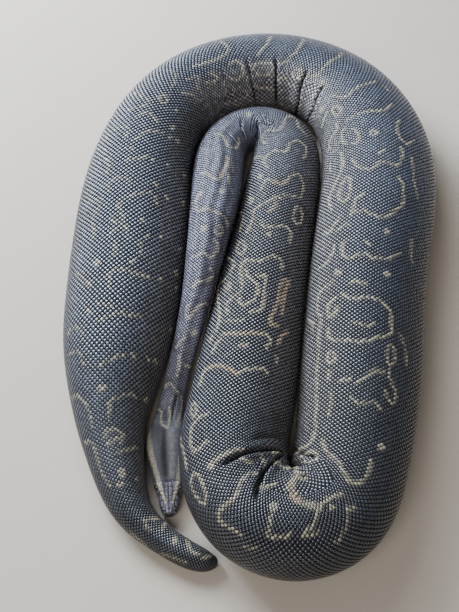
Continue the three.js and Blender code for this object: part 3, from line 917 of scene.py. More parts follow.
# %% Marks on the far flanks
FLANK_STEP = 0.105
FLANK_FIRST, FLANK_LAST = 0.50, LENGTH - 0.36  # clear of the tail and the head
ARCH = [(-0.030, 0.36), (-0.034, 0.29), (-0.012, 0.235), (0.016, 0.230), (0.034, 0.28), (0.030, 0.35)]
ARCH_WOBBLE, WOBBLE_SHARES = 0.014, (0.7, 0.9)  # along, round
STEP_SPREAD, SIZE_SPREAD, MOST_STEPS = (0.7, 1.4), (0.65, 1.2), 40
SPOT_SIZE, SPOT_FRACTION, SPOT_CHANCE = (0.004, 0.0024), 0.30, 0.55
DIM_UNTIL = at_station(12.5)
SEEN_SHARE = 0.15  # a mark is left out if the camera sees more of it than this
randoms = np.random.default_rng(11)


def faces_camera(s, f):
    """Whether the camera sees an address on the undented body."""
    return read_grid(towards_camera[..., None] * 1.0, s, f)[..., 0] > 0.5


def flank_spot(start, side):
    """Outline of a small spot inside an arch, through six points a radian apart."""
    girth = 2 * float(side_length(start, side))
    angle = np.arange(6)
    fraction = SPOT_FRACTION + SPOT_SIZE[1] * np.sin(angle) / girth
    return np.column_stack([start + SPOT_SIZE[0] * np.cos(angle), side * fraction])


flank = {"dim": [], "pale": [], "spot": []}
for side in (-1, 1):
    starts = FLANK_FIRST + np.cumsum(FLANK_STEP * randoms.uniform(*STEP_SPREAD, MOST_STEPS))
    for start in starts[starts < FLANK_LAST]:
        wobble = randoms.normal(0, ARCH_WOBBLE, (len(ARCH), 2)) * WOBBLE_SHARES
        size = randoms.uniform(*SIZE_SPREAD)
        corners = np.array([(start + size * ds, side * f) for ds, f in ARCH]) + wobble
        flank["dim" if start < DIM_UNTIL else "pale"].append(rounded(corners))
        if randoms.random() < SPOT_CHANCE:
            flank["spot"].append(rounded(flank_spot(start, side), closed=True, step=FINE_STEP))
for kind, lines in flank.items():
    strokes[kind] += [line for line in lines if faces_camera(*line.T).mean() <= SEEN_SHARE]
print("with the far flanks", {kind: len(lines) for kind, lines in strokes.items()})

# %% [markdown]
# ## Pattern of every scale
#
# Each scale, and each point of the skin below, gets four amounts: how pale it is, how warm that pale
# is, how dark the blotch around it is, and a number of its own that keeps neighbours from looking
# alike. The head has its own marks, placed in the view like the others: a pale stripe from the snout
# over the eye to the corner of the jaw, a dark spearhead between the stripes, and a loop on the nape.
# A pale strip of painted sheen beside the midline and a line of painted shade in the nape's furrow are
# drawn the same way.

# %% Strokes on the head
HEAD_STRIPES = {  # corners as seen by the camera, half width at the first and the last corner
    "left": ([(149, 430), (149, 442), (151.5, 455), (155, 468), (158.5, 481), (162, 492),
              (165, 501)], 0.0052, 0.0034),
    "right": ([(181.5, 396), (181.8, 403), (181, 410), (179.5, 417)], 0.0015, 0.0024),
}
HEAD_WARM = [[(178.5, 418), (178, 422), (177, 427)], [(153, 463), (154.5, 468), (156, 473)]]
NAPE_LINE = [
    (158.5, 408), (161, 411.5), (160.8, 418), (161.8, 423), (164, 426.5), (167, 427), (169, 424),
    (169.8, 419), (169.8, 413), (169, 407),
]
JAW_LINE = [(158.5, 408), (156.5, 411.5), (154, 417), (151.5, 424), (149.5, 429)]
HEAD_PAINTED_SHEEN = [(171, 430), (172, 445), (173, 460), (171.5, 474)]  # painted sheen: a paler strip on the right of the midline, where the jaw muscle's slope faces the light
HEAD_DARKS_AND_PAINTED_SHADE = [  # corners of the spearhead, of the painted shade in the nape's furrow and of the nape mark's inside, amount, half width
    ([(161, 430), (161.5, 446), (163, 458), (165.5, 472)], 1.8, 0.0115),
    # painted shade along the nape's furrow
    ([(177, 393), (175, 402), (173.3, 413), (171.5, 424)], 1.7, 0.0036),
    ([(165.5, 411), (165.3, 420)], 1.5, 0.0034),
]


def ramp(value, low, high):
    """0 below low, 1 above high, smooth between (t squared times 3 minus 2 t)."""
    t = np.clip((value - low) / (high - low), 0, 1)
    return t * t * (3 - 2 * t)


def nearest(lines, s, f):
    """Distance to the nearest of many lines."""
    best = np.full(len(s), FAR_OFF)
    for line in lines:
        best = np.minimum(best, distance_to(line, s, f)[0])
    return best


def head_stroke(corners):
    """A fine line on the head through view points."""
    return rounded(address(corners, "head"), step=0.0015)


head_stripes = [(head_stroke(corners), first, last) for corners, first, last in HEAD_STRIPES.values()]
seen_line, *seen_widths = head_stripes[0]
head_stripes.append((seen_line * (1, -1), *seen_widths))  # the side that isn't seen
head_warm_lines = [head_stroke(corners) for corners in HEAD_WARM]
nape_line, jaw_line, head_painted_sheen = (head_stroke(corners) for corners in (NAPE_LINE, JAW_LINE, HEAD_PAINTED_SHEEN))
head_darks_and_painted_shade = [(head_stroke(corners), amount, half_width) for corners, amount, half_width in HEAD_DARKS_AND_PAINTED_SHADE]
print(len(head_stripes), "stripes and", len(head_darks_and_painted_shade), "darks on the head")

# %% Marks of the head
# Amount of each kind of mark, and the distances from its line at which it is full and at which it ends.
NAPE_MARK, JAW_MARK, WARM_MARK = (1, 0.0013, 0.0028), (0.9, 0.0014, 0.0028), (1, 0.0016, 0.0028)
# Amount and half width of the painted sheen beside the head's midline.
SHEEN_AMOUNT, SHEEN_WIDTH = 0.34, 0.0042
STRIPE_DARK, NAPE_DARK, HEAD_WARM_WIDTH = 0.0065, 0.0050, 0.0026


def stroke_cover(distance, amount, full, none):
    """Amount up to the distance full from a line, none beyond the distance none."""
    return amount * (1 - ramp(distance, full, none))


def head_marks(s, f, uneven):
    """Pale, warm and dark from the marks of the head: two long stripes and a mirrored one for the side
    that isn't seen, a loop on the nape, a line to the jaw, orange spots, a strip of painted sheen, and the
    darks, one of them painted shade in the nape's furrow."""
    pale, dark = np.zeros(len(s)), np.zeros(len(s))
    for line, first, last in head_stripes:
        distance, share = distance_to(line, s, f)
        wide = first + (last - first) * share
        pale = np.maximum(pale, stroke_cover((distance + uneven) / wide, 1, 0.75, 1.25))
        dark = np.maximum(dark, bell(distance, STRIPE_DARK))
    from_warm, from_nape = nearest(head_warm_lines, s, f), distance_to(nape_line, s, f)[0]
    from_jaw, from_sheen = distance_to(jaw_line, s, f)[0], distance_to(head_painted_sheen, s, f)[0]
    for distance, mark in ((from_nape, NAPE_MARK), (from_jaw, JAW_MARK), (from_warm, WARM_MARK)):
        pale = np.maximum(pale, stroke_cover(distance + uneven, *mark))
    pale = np.maximum(pale, SHEEN_AMOUNT * bell(from_sheen, SHEEN_WIDTH))
    dark = np.maximum(dark, bell(from_nape, NAPE_DARK))
    for line, amount, half_width in head_darks_and_painted_shade:
        dark = np.maximum(dark, amount * bell(distance_to(line, s, f)[0], half_width))
    return pale, bell(from_warm, HEAD_WARM_WIDTH), dark


# %% Pattern from the strokes
UNEVEN = 0.0010  # how far chance moves a line's edge from one scale to the next
EDGE_START, EDGE_END = 0.45, 1.45  # against a line's half width
SPOT_EDGE = 0.0018, 0.0036
PALE_LEAST, PALE_MORE, PALE_CHANCE = 0.56, 0.36, (0.05, 0.35)
DIM_LEAST, DIM_MORE = 0.42, 0.34
WARM_HALF_WIDTH = LINE_WIDTH * 0.6
DARK_WIDTH, DIM_DARK_WIDTH, DARK_SHARE = 0.0095, 0.0080, 0.75
WARM_AMOUNT, WARM_WIDTH = 0.85, 0.0050
# The stretched skin of the far bend: a scattering of pale scales, and a paler ground that is partly painted
# light.
STRETCHED_PALE_AMOUNT, STRETCHED_PALE_CHANCE = 0.45, (0.60, 0.95)
STRETCHED_START, STRETCHED_END, STRETCHED_EDGE = (12.6, 13.6), (17.0, 18.0), (0.05, 0.15)  # stations, fractions round


def stroke_amount(kind, s, f, uneven, half_width):
    """How much of a kind of stroke covers addresses: one on the line, none beyond its edge."""
    distance = nearest(strokes[kind], s, f)
    return stroke_cover(distance + uneven, 1, half_width * EDGE_START, half_width * EDGE_END), distance


def stretched_part_with_painted_light(station, f):
    """1 on the inward side of the far bend, where the skin is stretched between creases, fading to 0;
    there the ground is lighter, partly as painted light.
    """
    return ramp(station, *STRETCHED_START) * (1 - ramp(station, *STRETCHED_END)) * ramp(f, *STRETCHED_EDGE)


def pattern(s, f, chance):
    """Pale, warm, dark and chance for addresses. Pale is high within half a line's width of a stroke,
    weaker here and there by chance; dark is a bell of the distance to the lines, about a centimetre wide
    on either side; on the stretched part of the far bend a scale here and there is pale."""
    uneven = (chance - 0.5) * UNEVEN
    pale, line = stroke_amount("pale", s, f, uneven, LINE_WIDTH / 2)
    dim, dim_line = stroke_amount("dim", s, f, uneven, LINE_WIDTH / 2)
    warm, warm_line = stroke_amount("warm", s, f, uneven, WARM_HALF_WIDTH)
    spot = nearest(strokes["spot"], s, f) + uneven
    pale = pale * (PALE_LEAST + PALE_MORE * ramp(chance, *PALE_CHANCE))
    pale = np.maximum(pale, stroke_cover(spot, 1, *SPOT_EDGE))
    pale = np.maximum(pale, dim * (DIM_LEAST + DIM_MORE * chance))
    pale = np.maximum(pale, warm * WARM_AMOUNT)
    stretched_and_lit = stretched_part_with_painted_light(station_at(s), f)
    pale = np.maximum(pale, STRETCHED_PALE_AMOUNT * stretched_and_lit * ramp(chance, *STRETCHED_PALE_CHANCE))
    dark = np.maximum(bell(warm_line, DARK_WIDTH), bell(dim_line, DIM_DARK_WIDTH))
    dark = np.maximum(bell(line, DARK_WIDTH), DARK_SHARE * dark)
    body = pale, WARM_AMOUNT * bell(warm_line, WARM_WIDTH), dark
    head = head_marks(s, f, uneven)
    return np.stack([*(np.maximum(*pair) for pair in zip(body, head)), chance], -1)


# %% Dark ground
# Station, then the linear colour of the ground there: the animal's own tone, raised as painted light on the
# far bend, the inner turn, the neck, the nape and the near end of the hind trunk, and lowered as painted
# shade on the middle trunk and the near bend.
FIELD_TINTS_AND_PAINTED_LIGHT = np.array([
    (0, 0.032, 0.036, 0.044), (5, 0.044, 0.049, 0.062), (7, 0.076, 0.088, 0.116),
    (10, 0.052, 0.064, 0.092), (13, 0.053, 0.064, 0.092), (14.5, 0.078, 0.092, 0.132),
    (16.5, 0.081, 0.095, 0.137), (19, 0.070, 0.083, 0.121), (21, 0.031, 0.038, 0.056),
    (24, 0.028, 0.032, 0.041), (27, 0.037, 0.042, 0.057), (29.5, 0.032, 0.034, 0.041),
    (32, 0.056, 0.055, 0.069), (34, 0.085, 0.085, 0.113), (36, 0.125, 0.130, 0.178),
    (38, 0.105, 0.107, 0.147), (41, 0.182, 0.178, 0.248), (44, 0.285, 0.285, 0.360),
    (46, 0.195, 0.195, 0.245), (48, 0.082, 0.082, 0.104), (51, 0.150, 0.148, 0.180),
    (55, 0.160, 0.155, 0.185),
])
OUTWARD_PAINTED_SHADE, INWARD_PAINTED_LIGHT = (0.018, 0.015, 0.010), (0.112, 0.100, 0.096)  # painted shade low on the left flank, dark brown, and painted light low on the right flank, grey
OUTWARD_SHADE_EDGE, INWARD_LIGHT_EDGE = (0.12, 0.28), (0.02, 0.20)  # fractions round the body where the painted shade and light start and end
STRETCHED_SKIN_PAINTED_LIGHT = (0.262, 0.246, 0.268)  # stretched skin between the creases of the far bend: paler, and lighter still as painted light on that shaded inward side
TINT_SHARE = 0.8
NECK_STATION = 36  # from here on the flanks have the colour of the back, without painted shade or light


def field(s, f, rim=0.0):
    """Colour of the dark ground at addresses, painted light and shade included: it darkens to a brown
    painted shade low on the outward flank, lightens to a grey painted light low on the inward one, and
    is lighter on the stretched part of the far bend, partly its own paler skin and partly painted
    light; as a fourth number, how near the point is to the rim of its scale."""
    station = station_at(s)
    tint = np.stack([np.interp(station, FIELD_TINTS_AND_PAINTED_LIGHT[:, 0], FIELD_TINTS_AND_PAINTED_LIGHT[:, k]) for k in (1, 2, 3)], -1)
    # Painted shade low on the outward flank and painted light low on the inward one, before the neck.
    low = TINT_SHARE * np.where(f < 0, ramp(-f, *OUTWARD_SHADE_EDGE), ramp(f, *INWARD_LIGHT_EDGE))[:, None]
    low = low * (station < NECK_STATION)[:, None]
    tint = tint * (1 - low) + np.where((f < 0)[:, None], OUTWARD_PAINTED_SHADE, INWARD_PAINTED_LIGHT) * low
    # The paler ground of the stretched part, partly painted light.
    stretched_and_lit = TINT_SHARE * stretched_part_with_painted_light(station, f)[:, None]
    return np.column_stack([tint * (1 - stretched_and_lit) + np.array(STRETCHED_SKIN_PAINTED_LIGHT) * stretched_and_lit, np.full(len(s), rim)])


trial_s = row_s[::40]
trial = pattern(trial_s, np.zeros(len(trial_s)), np.full(len(trial_s), 0.5))
print("pale share of the midline", round(float(trial[:, 0].mean()), 2))

# %% [markdown]
# ## Materials
#
# A snake's scale is dark horn with a clear glossy face, lying on dull skin. The colours come from
# the pattern stored on the mesh; the finish comes from a Principled shader. To keep the sums
# readable, a small class lets sockets be added and multiplied as if they were numbers.

# %% Sockets as numbers
class Wire:
    """One output socket. Each operator adds a Math node and gives that node's output."""

    def __init__(self, finish, socket):
        self.finish, self.socket = finish, socket

    def math(self, operation, a, b=0.0):
        return self.finish.node("ShaderNodeMath", {"operation": operation}, {0: a, 1: b})

    def __add__(self, other):
        return self.math("ADD", self, other)

    def __rsub__(self, other):
        return self.math("SUBTRACT", other, self)

    def __mul__(self, other):
        return self.math("MULTIPLY", self, other)


class Finish:
    """A material under construction."""

    def __init__(self, name, **constants):
        self.material = bpy.data.materials.new(name)
        self.material.use_nodes = True
        self.tree = self.material.node_tree
        self.tree.nodes.clear()
        self.shader = self.tree.nodes.new("ShaderNodeBsdfPrincipled")
        output = self.tree.nodes.new("ShaderNodeOutputMaterial")
        self.tree.links.new(self.shader.outputs[0], output.inputs["Surface"])
        self.set(**constants)

    def put(self, socket, value):
        """Links a wire to a socket, or sets the socket to a number or colour."""
        if isinstance(value, Wire):
            self.tree.links.new(value.socket, socket)
        else:
            socket.default_value = value

    def node(self, kind, settings=None, sockets=None, output=0):
        """Adds a node: settings first, then values or wires for its sockets."""
        node = self.tree.nodes.new(kind)
        for name, value in (settings or {}).items():
            setattr(node, name, value)
        for name, value in (sockets or {}).items():
            self.put(node.inputs[name], value)
        return Wire(self, node.outputs[output])

    def mix(self, a, b, factor):
        """Colour a where factor is 0 and b where it is 1."""
        return self.node("ShaderNodeMix", {"data_type": "RGBA"}, {0: factor, 6: a, 7: b}, 2)

    def attribute(self, name):
        """The four amounts of a stored colour, as three wires and the fourth."""
        colour, fourth = self.stored(name)
        parts = self.tree.nodes.new("ShaderNodeSeparateColor")
        self.tree.links.new(colour.socket, parts.inputs[0])
        return [Wire(self, parts.outputs[k]) for k in range(3)] + [fourth]

    def stored(self, name):
        """A stored colour as one wire, and its fourth amount."""
        node = self.tree.nodes.new("ShaderNodeAttribute")
        node.attribute_name = name
        return Wire(self, node.outputs["Color"]), Wire(self, node.outputs["Alpha"])

    def scaled(self, colour, factor):
        """A colour multiplied by a number."""
        return self.node("ShaderNodeVectorMath", {"operation": "SCALE"}, {0: colour, "Scale": factor})

    def noise(self, scale, detail=2.0):
        """Noise on Object coordinates, 0 to 1."""
        place = self.node("ShaderNodeTexCoord", output="Object")
        return self.node("ShaderNodeTexNoise", None, {"Vector": place, "Scale": scale, "Detail": detail})

    def bump(self, wire, distance):
        """A faint Bump node on the shader's Normal."""
        sockets = {"Height": wire, "Strength": 0.10, "Distance": distance}
        self.put(self.shader.inputs["Normal"], self.node("ShaderNodeBump", None, sockets))

    def share(self, wire, low, high):
        """0 where a wire is at or below low, 1 at or above high, straight between."""
        return self.node("ShaderNodeMapRange", None, {"Value": wire, "From Min": low, "From Max": high})

    def set(self, **inputs):
        """Puts values or wires on the shader's inputs."""
        for name, value in inputs.items():
            self.put(self.shader.inputs[name.replace("_", " ")], value)


print("material helpers ready")


# %% Scale finish
# Dark of the blotches, also used for the painted shade in the nape's furrow.
BLOTCH_DARK_AND_PAINTED_SHADE = (0.030, 0.026, 0.030, 1)
# Cream of the pale lines, also used for the painted sheen beside the head's midline.
CREAM_AND_PAINTED_SHEEN = (0.32, 0.285, 0.190, 1)
CREAM_WARM = (0.33, 0.22, 0.12, 1)
# Dark skin at each scale's rim, deepened as painted shade where the scales meet.
RIM_DARK_AND_PAINTED_SHADE = (0.009, 0.009, 0.010, 1)
DULL_RIM = 0.45  # how much rougher the gap between scales is than their faces
RIM_EDGE = 0.02, 0.38  # where the dark skin and painted shade of the gap start and where they are full
CLOUD_SCALE, GRAIN_SCALE, GRAIN_DEPTH = 26.0, 900.0, 0.0004


def horn(name, roughness, rim_shade_share, cream_share=1.0, coated=True, **constants):
    """Colour of horny skin: the stored field colour in clouds, dark in the blotches, then cream on the
    pale scales, lifted by part of the field colour and so by its painted light, and black at the rims,
    partly dark skin and partly painted shade in the gaps; every scale a little lighter or darker by
    chance. Only the face of a scale is glossy, so the rims are rough and carry no coat."""
    finish = Finish(name, **constants)
    pale, warm, dark, chance = finish.attribute("pattern")
    tint, rim = finish.stored("field")
    cloud = finish.noise(CLOUD_SCALE, 3.0)
    colour = finish.scaled(tint, cloud * 0.8 + 0.6)
    colour = finish.mix(colour, BLOTCH_DARK_AND_PAINTED_SHADE, dark * (chance * 0.3 + 0.45))
    light = {0: finish.mix(CREAM_AND_PAINTED_SHEEN, CREAM_WARM, warm), 1: finish.scaled(tint, 0.6)}
    cream = finish.node("ShaderNodeVectorMath", {"operation": "ADD"}, light)
    colour = finish.mix(colour, cream, pale * cream_share)
    edge = finish.share(rim, *RIM_EDGE)
    # Dark skin and painted shade at each scale's rim, less on pale scales.
    colour = finish.mix(colour, RIM_DARK_AND_PAINTED_SHADE, edge * (rim_shade_share - pale * 0.25))
    shade = finish.node("ShaderNodeMath", {"operation": "POWER"}, {0: chance * 0.34 + 0.80, 1: 1.4})
    uneven = chance * 0.08 + (cloud * 0.08 + (roughness - 0.08))
    finish.set(Base_Color=finish.scaled(colour, shade), Roughness=edge * DULL_RIM + uneven)
    if coated:
        finish.set(Coat_Weight=1 - edge)
    finish.bump(finish.noise(GRAIN_SCALE), GRAIN_DEPTH)
    return finish.material


gloss = dict(Coat_Roughness=0.15, Coat_IOR=1.47, Specular_IOR_Level=0.35, Specular_Tint=(0.88, 0.89, 1.0, 1))
scale_finish = horn("dark_glossy_scale", 0.20, 0.95, **gloss)
tail_finish = horn("tail_scale", 0.20, 0.95, **gloss)
head_finish = horn("head_scale", 0.24, 0.92, **gloss)
skin_finish = horn("skin_between_scales", 0.60, 0.0, 0.6, coated=False, Specular_IOR_Level=0.2)
print("four horn finishes")


# %% Belly plate and eye finishes
BELLY_CREAM, BELLY_DARK = (0.30, 0.26, 0.20, 1), (0.060, 0.056, 0.060, 1)
IRIS_DARK, IRIS_LIGHT, PUPIL = (0.022, 0.014, 0.008, 1), (0.095, 0.062, 0.030, 1), (0.004, 0.004, 0.004, 1)
PUPIL_HALF_WIDTH, PUPIL_HALF_HEIGHT = 0.20, 0.62  # against the eye's radius
FLOOR_DARK, FLOOR_LIGHT = (0.56, 0.485, 0.41, 1), (0.60, 0.525, 0.45, 1)


def belly_plate():
    """Broad plates: mottled grey and cream, darker in cloudy patches."""
    finish = Finish("belly_plate", Coat_Weight=0.2, Coat_Roughness=0.25)
    cloud = finish.noise(38.0, 4.0)
    patch = finish.share(cloud, 0.42, 0.60)
    finish.set(Base_Color=finish.mix(BELLY_CREAM, BELLY_DARK, patch), Roughness=cloud * 0.15 + 0.32)
    finish.bump(finish.noise(700.0), GRAIN_DEPTH)
    return finish.material


def eye_ball(middles, radius):
    """Dark bronze iris with fine flecks and an upright slit pupil on the outer face of each ball."""
    finish = Finish("dark_bronze_eye", Roughness=0.08, Coat_Weight=1.0, Coat_Roughness=0.02)
    place = finish.node("ShaderNodeTexCoord", output="Object")
    between = {0: place, 1: tuple(middles.mean(0))}
    offset = finish.node("ShaderNodeVectorMath", {"operation": "SUBTRACT"}, between)
    parts = finish.tree.nodes.new("ShaderNodeSeparateXYZ")
    finish.put(parts.inputs[0], offset)
    y, z = Wire(finish, parts.outputs[1]), Wire(finish, parts.outputs[2])
    slit, ends = (
        finish.node("ShaderNodeMath", {"operation": "ABSOLUTE"}, {0: wire * (1 / (half * radius))})
        for wire, half in ((y, PUPIL_HALF_WIDTH), (z, PUPIL_HALF_HEIGHT))
    )
    inside = finish.share(slit * slit + ends * ends, 0.8, 1.15)
    iris = finish.mix(IRIS_DARK, IRIS_LIGHT, finish.noise(2600.0, 3.0))
    finish.set(Base_Color=finish.mix(PUPIL, iris, inside))
    return finish.material


floor_finish = Finish("pale_floor", Roughness=0.85)
floor_finish.set(Base_Color=floor_finish.mix(FLOOR_DARK, FLOOR_LIGHT, floor_finish.noise(9.0, 3.0)))
floor_mesh.materials.append(floor_finish.material)
print("belly, eye and floor finishes")

# %% [markdown]
# ## The bare skin
#
# Below the scales lies one closed skin from tail tip to snout, with no seam between the lengths of the
# solids. Its rings are read from the fine grid: far apart on the straight lengths, close together at
# folds, and with twice as many points round the head, where lips and lids need them.

# %% Skin mesh
TRUNK_COLUMNS, HEAD_COLUMNS = 98, 196
SKIN_ZONES = np.array([  # station, distance between rings
    (0, 0.005), (6, 0.012), (13.4, 0.012), (14.2, 0.0032), (17.4, 0.0032), (18.4, 0.012), (23.5, 0.012),
    (24.2, 0.0025), (29.2, 0.0025), (29.9, 0.012), (33.3, 0.012), (34.2, 0.0024), (38.5, 0.0030), (41, 0.005),
    (44.6, 0.004), (45.6, 0.0010), (55, 0.0009),
])
HEAD_FROM = LENGTH - 0.128
UV_STRIPS = 5


def surface(s, f, lift=0.0):
    """A point of the skin at distance s and fraction f, lifted along the skin's normal."""
    f = (f + 0.5) % 1.0 - 0.5
    return read_grid(skin_grid, s, f) + np.asarray(lift)[..., None] * unit(read_grid(skin_normals, s, f))


def ring_places(zones, first_s, last_s):
    """Distances for rings between two ends, spaced by a table of spacings against stations."""
    count = ring_count(zones)
    ends = np.interp([first_s, last_s], s_fine, count)
    return np.interp(np.linspace(*ends, int(ends[1] - ends[0]) + 2), count, s_fine)


skin_s = np.unique(np.r_[
    COAT + round_end(TAIL_ROUND, 6, 16),
    ring_places(SKIN_ZONES, COAT + TAIL_ROUND + 0.001, HEAD_FROM),
    ring_places(SKIN_ZONES, HEAD_FROM + 0.001, LENGTH - COAT - NOSE_ROUND - 0.0005),
    LENGTH - COAT - round_end(NOSE_ROUND, 6, 16),
])
head_ring = int(np.searchsorted(skin_s, HEAD_FROM + 0.0005))
ring_columns = np.where(np.arange(len(skin_s)) < head_ring, TRUNK_COLUMNS, HEAD_COLUMNS)
ring_start = np.r_[0, np.cumsum(ring_columns)]
point_s = np.repeat(skin_s, ring_columns)
point_number = np.arange(ring_start[-1]) - np.repeat(ring_start[:-1], ring_columns)
point_f = point_number / np.repeat(ring_columns, ring_columns) - 0.5
skin_points = surface(point_s, point_f)
tips = np.array([skin_points[:TRUNK_COLUMNS].mean(0), skin_points[-HEAD_COLUMNS:].mean(0)])
skin_points = np.vstack([skin_points, tips])
print(len(skin_s), "rings,", len(skin_points), "points")


# %% Skin faces
def ring_faces(start, after, columns):
    """Two triangles for each step between two rings with the same number of points."""
    j = np.arange(columns)
    k = (j + 1) % columns
    a, b, c, d = start + j, start + k, after + k, after + j
    return np.vstack([np.column_stack([a, b, c]), np.column_stack([a, c, d])])


def widening_faces(start, after, columns):
    """Three triangles for each step from a ring to one with twice as many points."""
    j = np.arange(columns)
    a, b = start + j, start + (j + 1) % columns
    c, d, e = after + 2 * j, after + 2 * j + 1, after + (2 * j + 2) % (2 * columns)
    return np.vstack([np.column_stack([a, d, c]), np.column_stack([a, b, d]), np.column_stack([b, e, d])])


def fan(tip, start, columns, forward):
    """Triangles from a tip to a ring; forward turns them over."""
    j = np.arange(columns)
    pair = [start + j, start + (j + 1) % columns]
    return np.column_stack([np.full(columns, tip), *(pair if forward else pair[::-1])])


skin_faces = [fan(len(skin_points) - 2, 0, TRUNK_COLUMNS, False)]
for number in range(len(skin_s) - 1):
    maker = widening_faces if number == head_ring - 1 else ring_faces
    skin_faces.append(maker(ring_start[number], ring_start[number + 1], ring_columns[number]))
skin_faces.append(fan(len(skin_points) - 1, ring_start[-2], HEAD_COLUMNS, True))
skin_faces = np.vstack(skin_faces)

all_s = np.r_[point_s, skin_s[[0, -1]]]
all_f = np.r_[point_f, 0, 0]


def strip_uv(s, f):
    """Texture places of the corners of faces: the body's length is laid in strips one above another;
    a face that crosses the belly's midline is kept whole by lifting its low corners by one round."""
    f = np.where((f < -0.25) & (f.max(1, keepdims=True) > 0.25), f + 1, f)
    share = (s - skin_s[0]) / (skin_s[-1] - skin_s[0]) * UV_STRIPS
    strip = np.minimum(np.floor(share.mean(1, keepdims=True)), UV_STRIPS - 1)
    return np.stack([np.clip(share - strip, 0, 1), (strip + np.clip(f + 0.5, 0, 1)) / UV_STRIPS], -1)


GAP_SHADE = 0.35  # the skin between the scales is darker than their faces: dark skin, and painted shade in the gaps
skin_chance = np.full(len(all_s), 0.5)
skin_field = field(all_s, all_f) * (GAP_SHADE, GAP_SHADE, GAP_SHADE, 1)
skin_colours = {"pattern": pattern(all_s, all_f, skin_chance), "field": skin_field}
skin_uv = strip_uv(all_s[skin_faces], all_f[skin_faces])
skin = make_piece("skin", skin_points, skin_faces, skin_finish, skin_colours, skin_uv)
FLESH = [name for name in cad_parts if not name.startswith("eye")]
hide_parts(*FLESH)
print("skin of", len(skin_faces), "triangles stands for", len(FLESH), "solids")

# %% [markdown]
# ## The lattice of scales
#
# A python's scales stand in slanting rows, each tucked between two in front of it. Scattering them
# with a particle system would lose that order. Instead the rows are counted round the body from the
# back's midline and the places along the body are counted in half steps, and a scale stands wherever
# both counts are even or both are odd.

# %% Lattice measures
ROW_PITCH = np.array([  # station, distance between rows round the body
    (0, 0.0024), (3, 0.0030), (6, 0.0036), (8, 0.0040), (10, 0.0042), (12.5, 0.0046), (15, 0.0044),
    (18, 0.0041), (20, 0.0039), (26, 0.0039), (27.5, 0.0034), (29, 0.0036), (31, 0.0039), (33, 0.0039),
    (36, 0.0038), (38, 0.0036), (42, 0.0032), (44.5, 0.0028), (45.6, 0.0026), (47.5, 0.0025), (49.5, 0.0023),
    (51, 0.0018), (55, 0.0016),
])
LONGER = np.array([  # station, step along the body against the pitch
    (0, 1.6), (5, 1.7), (7, 1.95), (17, 1.95), (20, 1.8), (23, 1.65), (26, 1.6), (28.5, 1.7), (30, 1.9),
    (31.5, 1.75), (33, 1.65), (34, 1.75), (36, 1.6), (55, 1.6),
])
BEND_SHARE = 0.5  # how much of a bend's stretch is met by more scales
VENTRAL_HALF = np.array([  # station, half width of the belly plates round the body
    (0, 0.006), (3, 0.012), (6, 0.022), (8, 0.036), (12, 0.044), (30, 0.040), (36, 0.032), (40, 0.024),
    (44, 0.016), (45.6, 0.013), (46.6, 0.010),
])
VENTRAL_LAST = 46.6  # the last belly plate, behind the chin

pitch_fine = np.interp(t_fine, *ROW_PITCH.T)
step_fine = pitch_fine * np.interp(t_fine, *LONGER.T)
BEND, HALF_WIDTH = 12, 9  # columns of the spine's table
rate_fine = (1 + BEND_SHARE * np.abs(spine[:, BEND]) * spine[:, HALF_WIDTH]) / step_fine
steps_fine = np.r_[0, np.cumsum(np.diff(s_fine) * (rate_fine[1:] + rate_fine[:-1]) / 2)]
half_steps = np.arange(2, int(2 * steps_fine[-1]) - 1)
lattice_s = np.interp(half_steps / 2, steps_fine, s_fine)
print(len(half_steps), "half steps from tail to snout")


# %% Places of the scales
HALVED_BELOW, QUARTERED_BELOW, LEAST_ROOM = 0.55, 0.27, 0.06  # shares of a step
TAIL_FREE, SNOUT_FREE = 0.004, 0.002  # no scales nearer than this to the skin's ends


def lattice():
    """Distance along, fraction round, and sizes of every scale. Where a bend squeezes the places to less
    than about a half of their step, every second scale is left out and the odd ones move by a half step,
    and below about a quarter three of four are left out."""
    widest = int(max(side_left.max(), side_right.max()) / pitch_fine.min())
    rows = np.arange(-widest, widest + 1)
    m, k = (part.ravel() for part in np.meshgrid(half_steps, rows, indexing="ij"))
    s = lattice_s[m - half_steps[0]]
    pitch = np.interp(s, s_fine, pitch_fine)
    arc = k * pitch
    side = side_length(s, arc)
    station = station_at(s)
    ventral = np.where(station < VENTRAL_LAST, np.interp(station, *VENTRAL_HALF.T), -pitch)
    keep = ((m + k) % 2 == 0) & (np.abs(arc) < side - ventral + 0.2 * pitch)
    keep &= (s > COAT + TAIL_FREE) & (s < LENGTH - COAT - SNOUT_FREE)
    m, s, arc, side, pitch = (part[keep] for part in (m, s, arc, side, pitch))
    f = arc / (2 * side)
    stretch = read_grid(stretch_grid[..., None], s, f)[:, 0]
    period = stretch / np.interp(s, s_fine, rate_fine)
    step = np.interp(s, s_fine, step_fine)
    ratio = period / step
    odd = m % 2 == 1
    halved, quartered = ratio < HALVED_BELOW, ratio < QUARTERED_BELOW
    one_of_two = np.where(odd, m % 4 == 1, m % 4 == 0)
    one_of_four = np.where(odd, m % 8 == 3, m % 8 == 0)
    keep = np.where(quartered, one_of_four, ~halved | one_of_two) & (ratio > LEAST_ROOM)
    shift = np.where(odd & (halved | quartered), 0.5, 0) / np.interp(s, s_fine, rate_fine)
    ratio = ratio * np.where(quartered, 4, np.where(halved, 2, 1))
    found = dict(s=s + shift, f=f, pitch=pitch, step=step, ratio=ratio, stretch=stretch, side=side)
    return {name: part[keep] for name, part in found.items()}


scales = lattice()
print(len(scales["s"]), "places on the lattice")

# %% [markdown]
# ## Head shields
#
# From the snout to just behind the eyes a python's head is covered by large smooth shields, the lips
# by tall plates with pits between them, and the eye by a ring of small ones. They are laid out on
# three drawing boards, from above, from the side and from the front, in millimetres from the snout,
# and each is a rounded plate that lies on the skin.

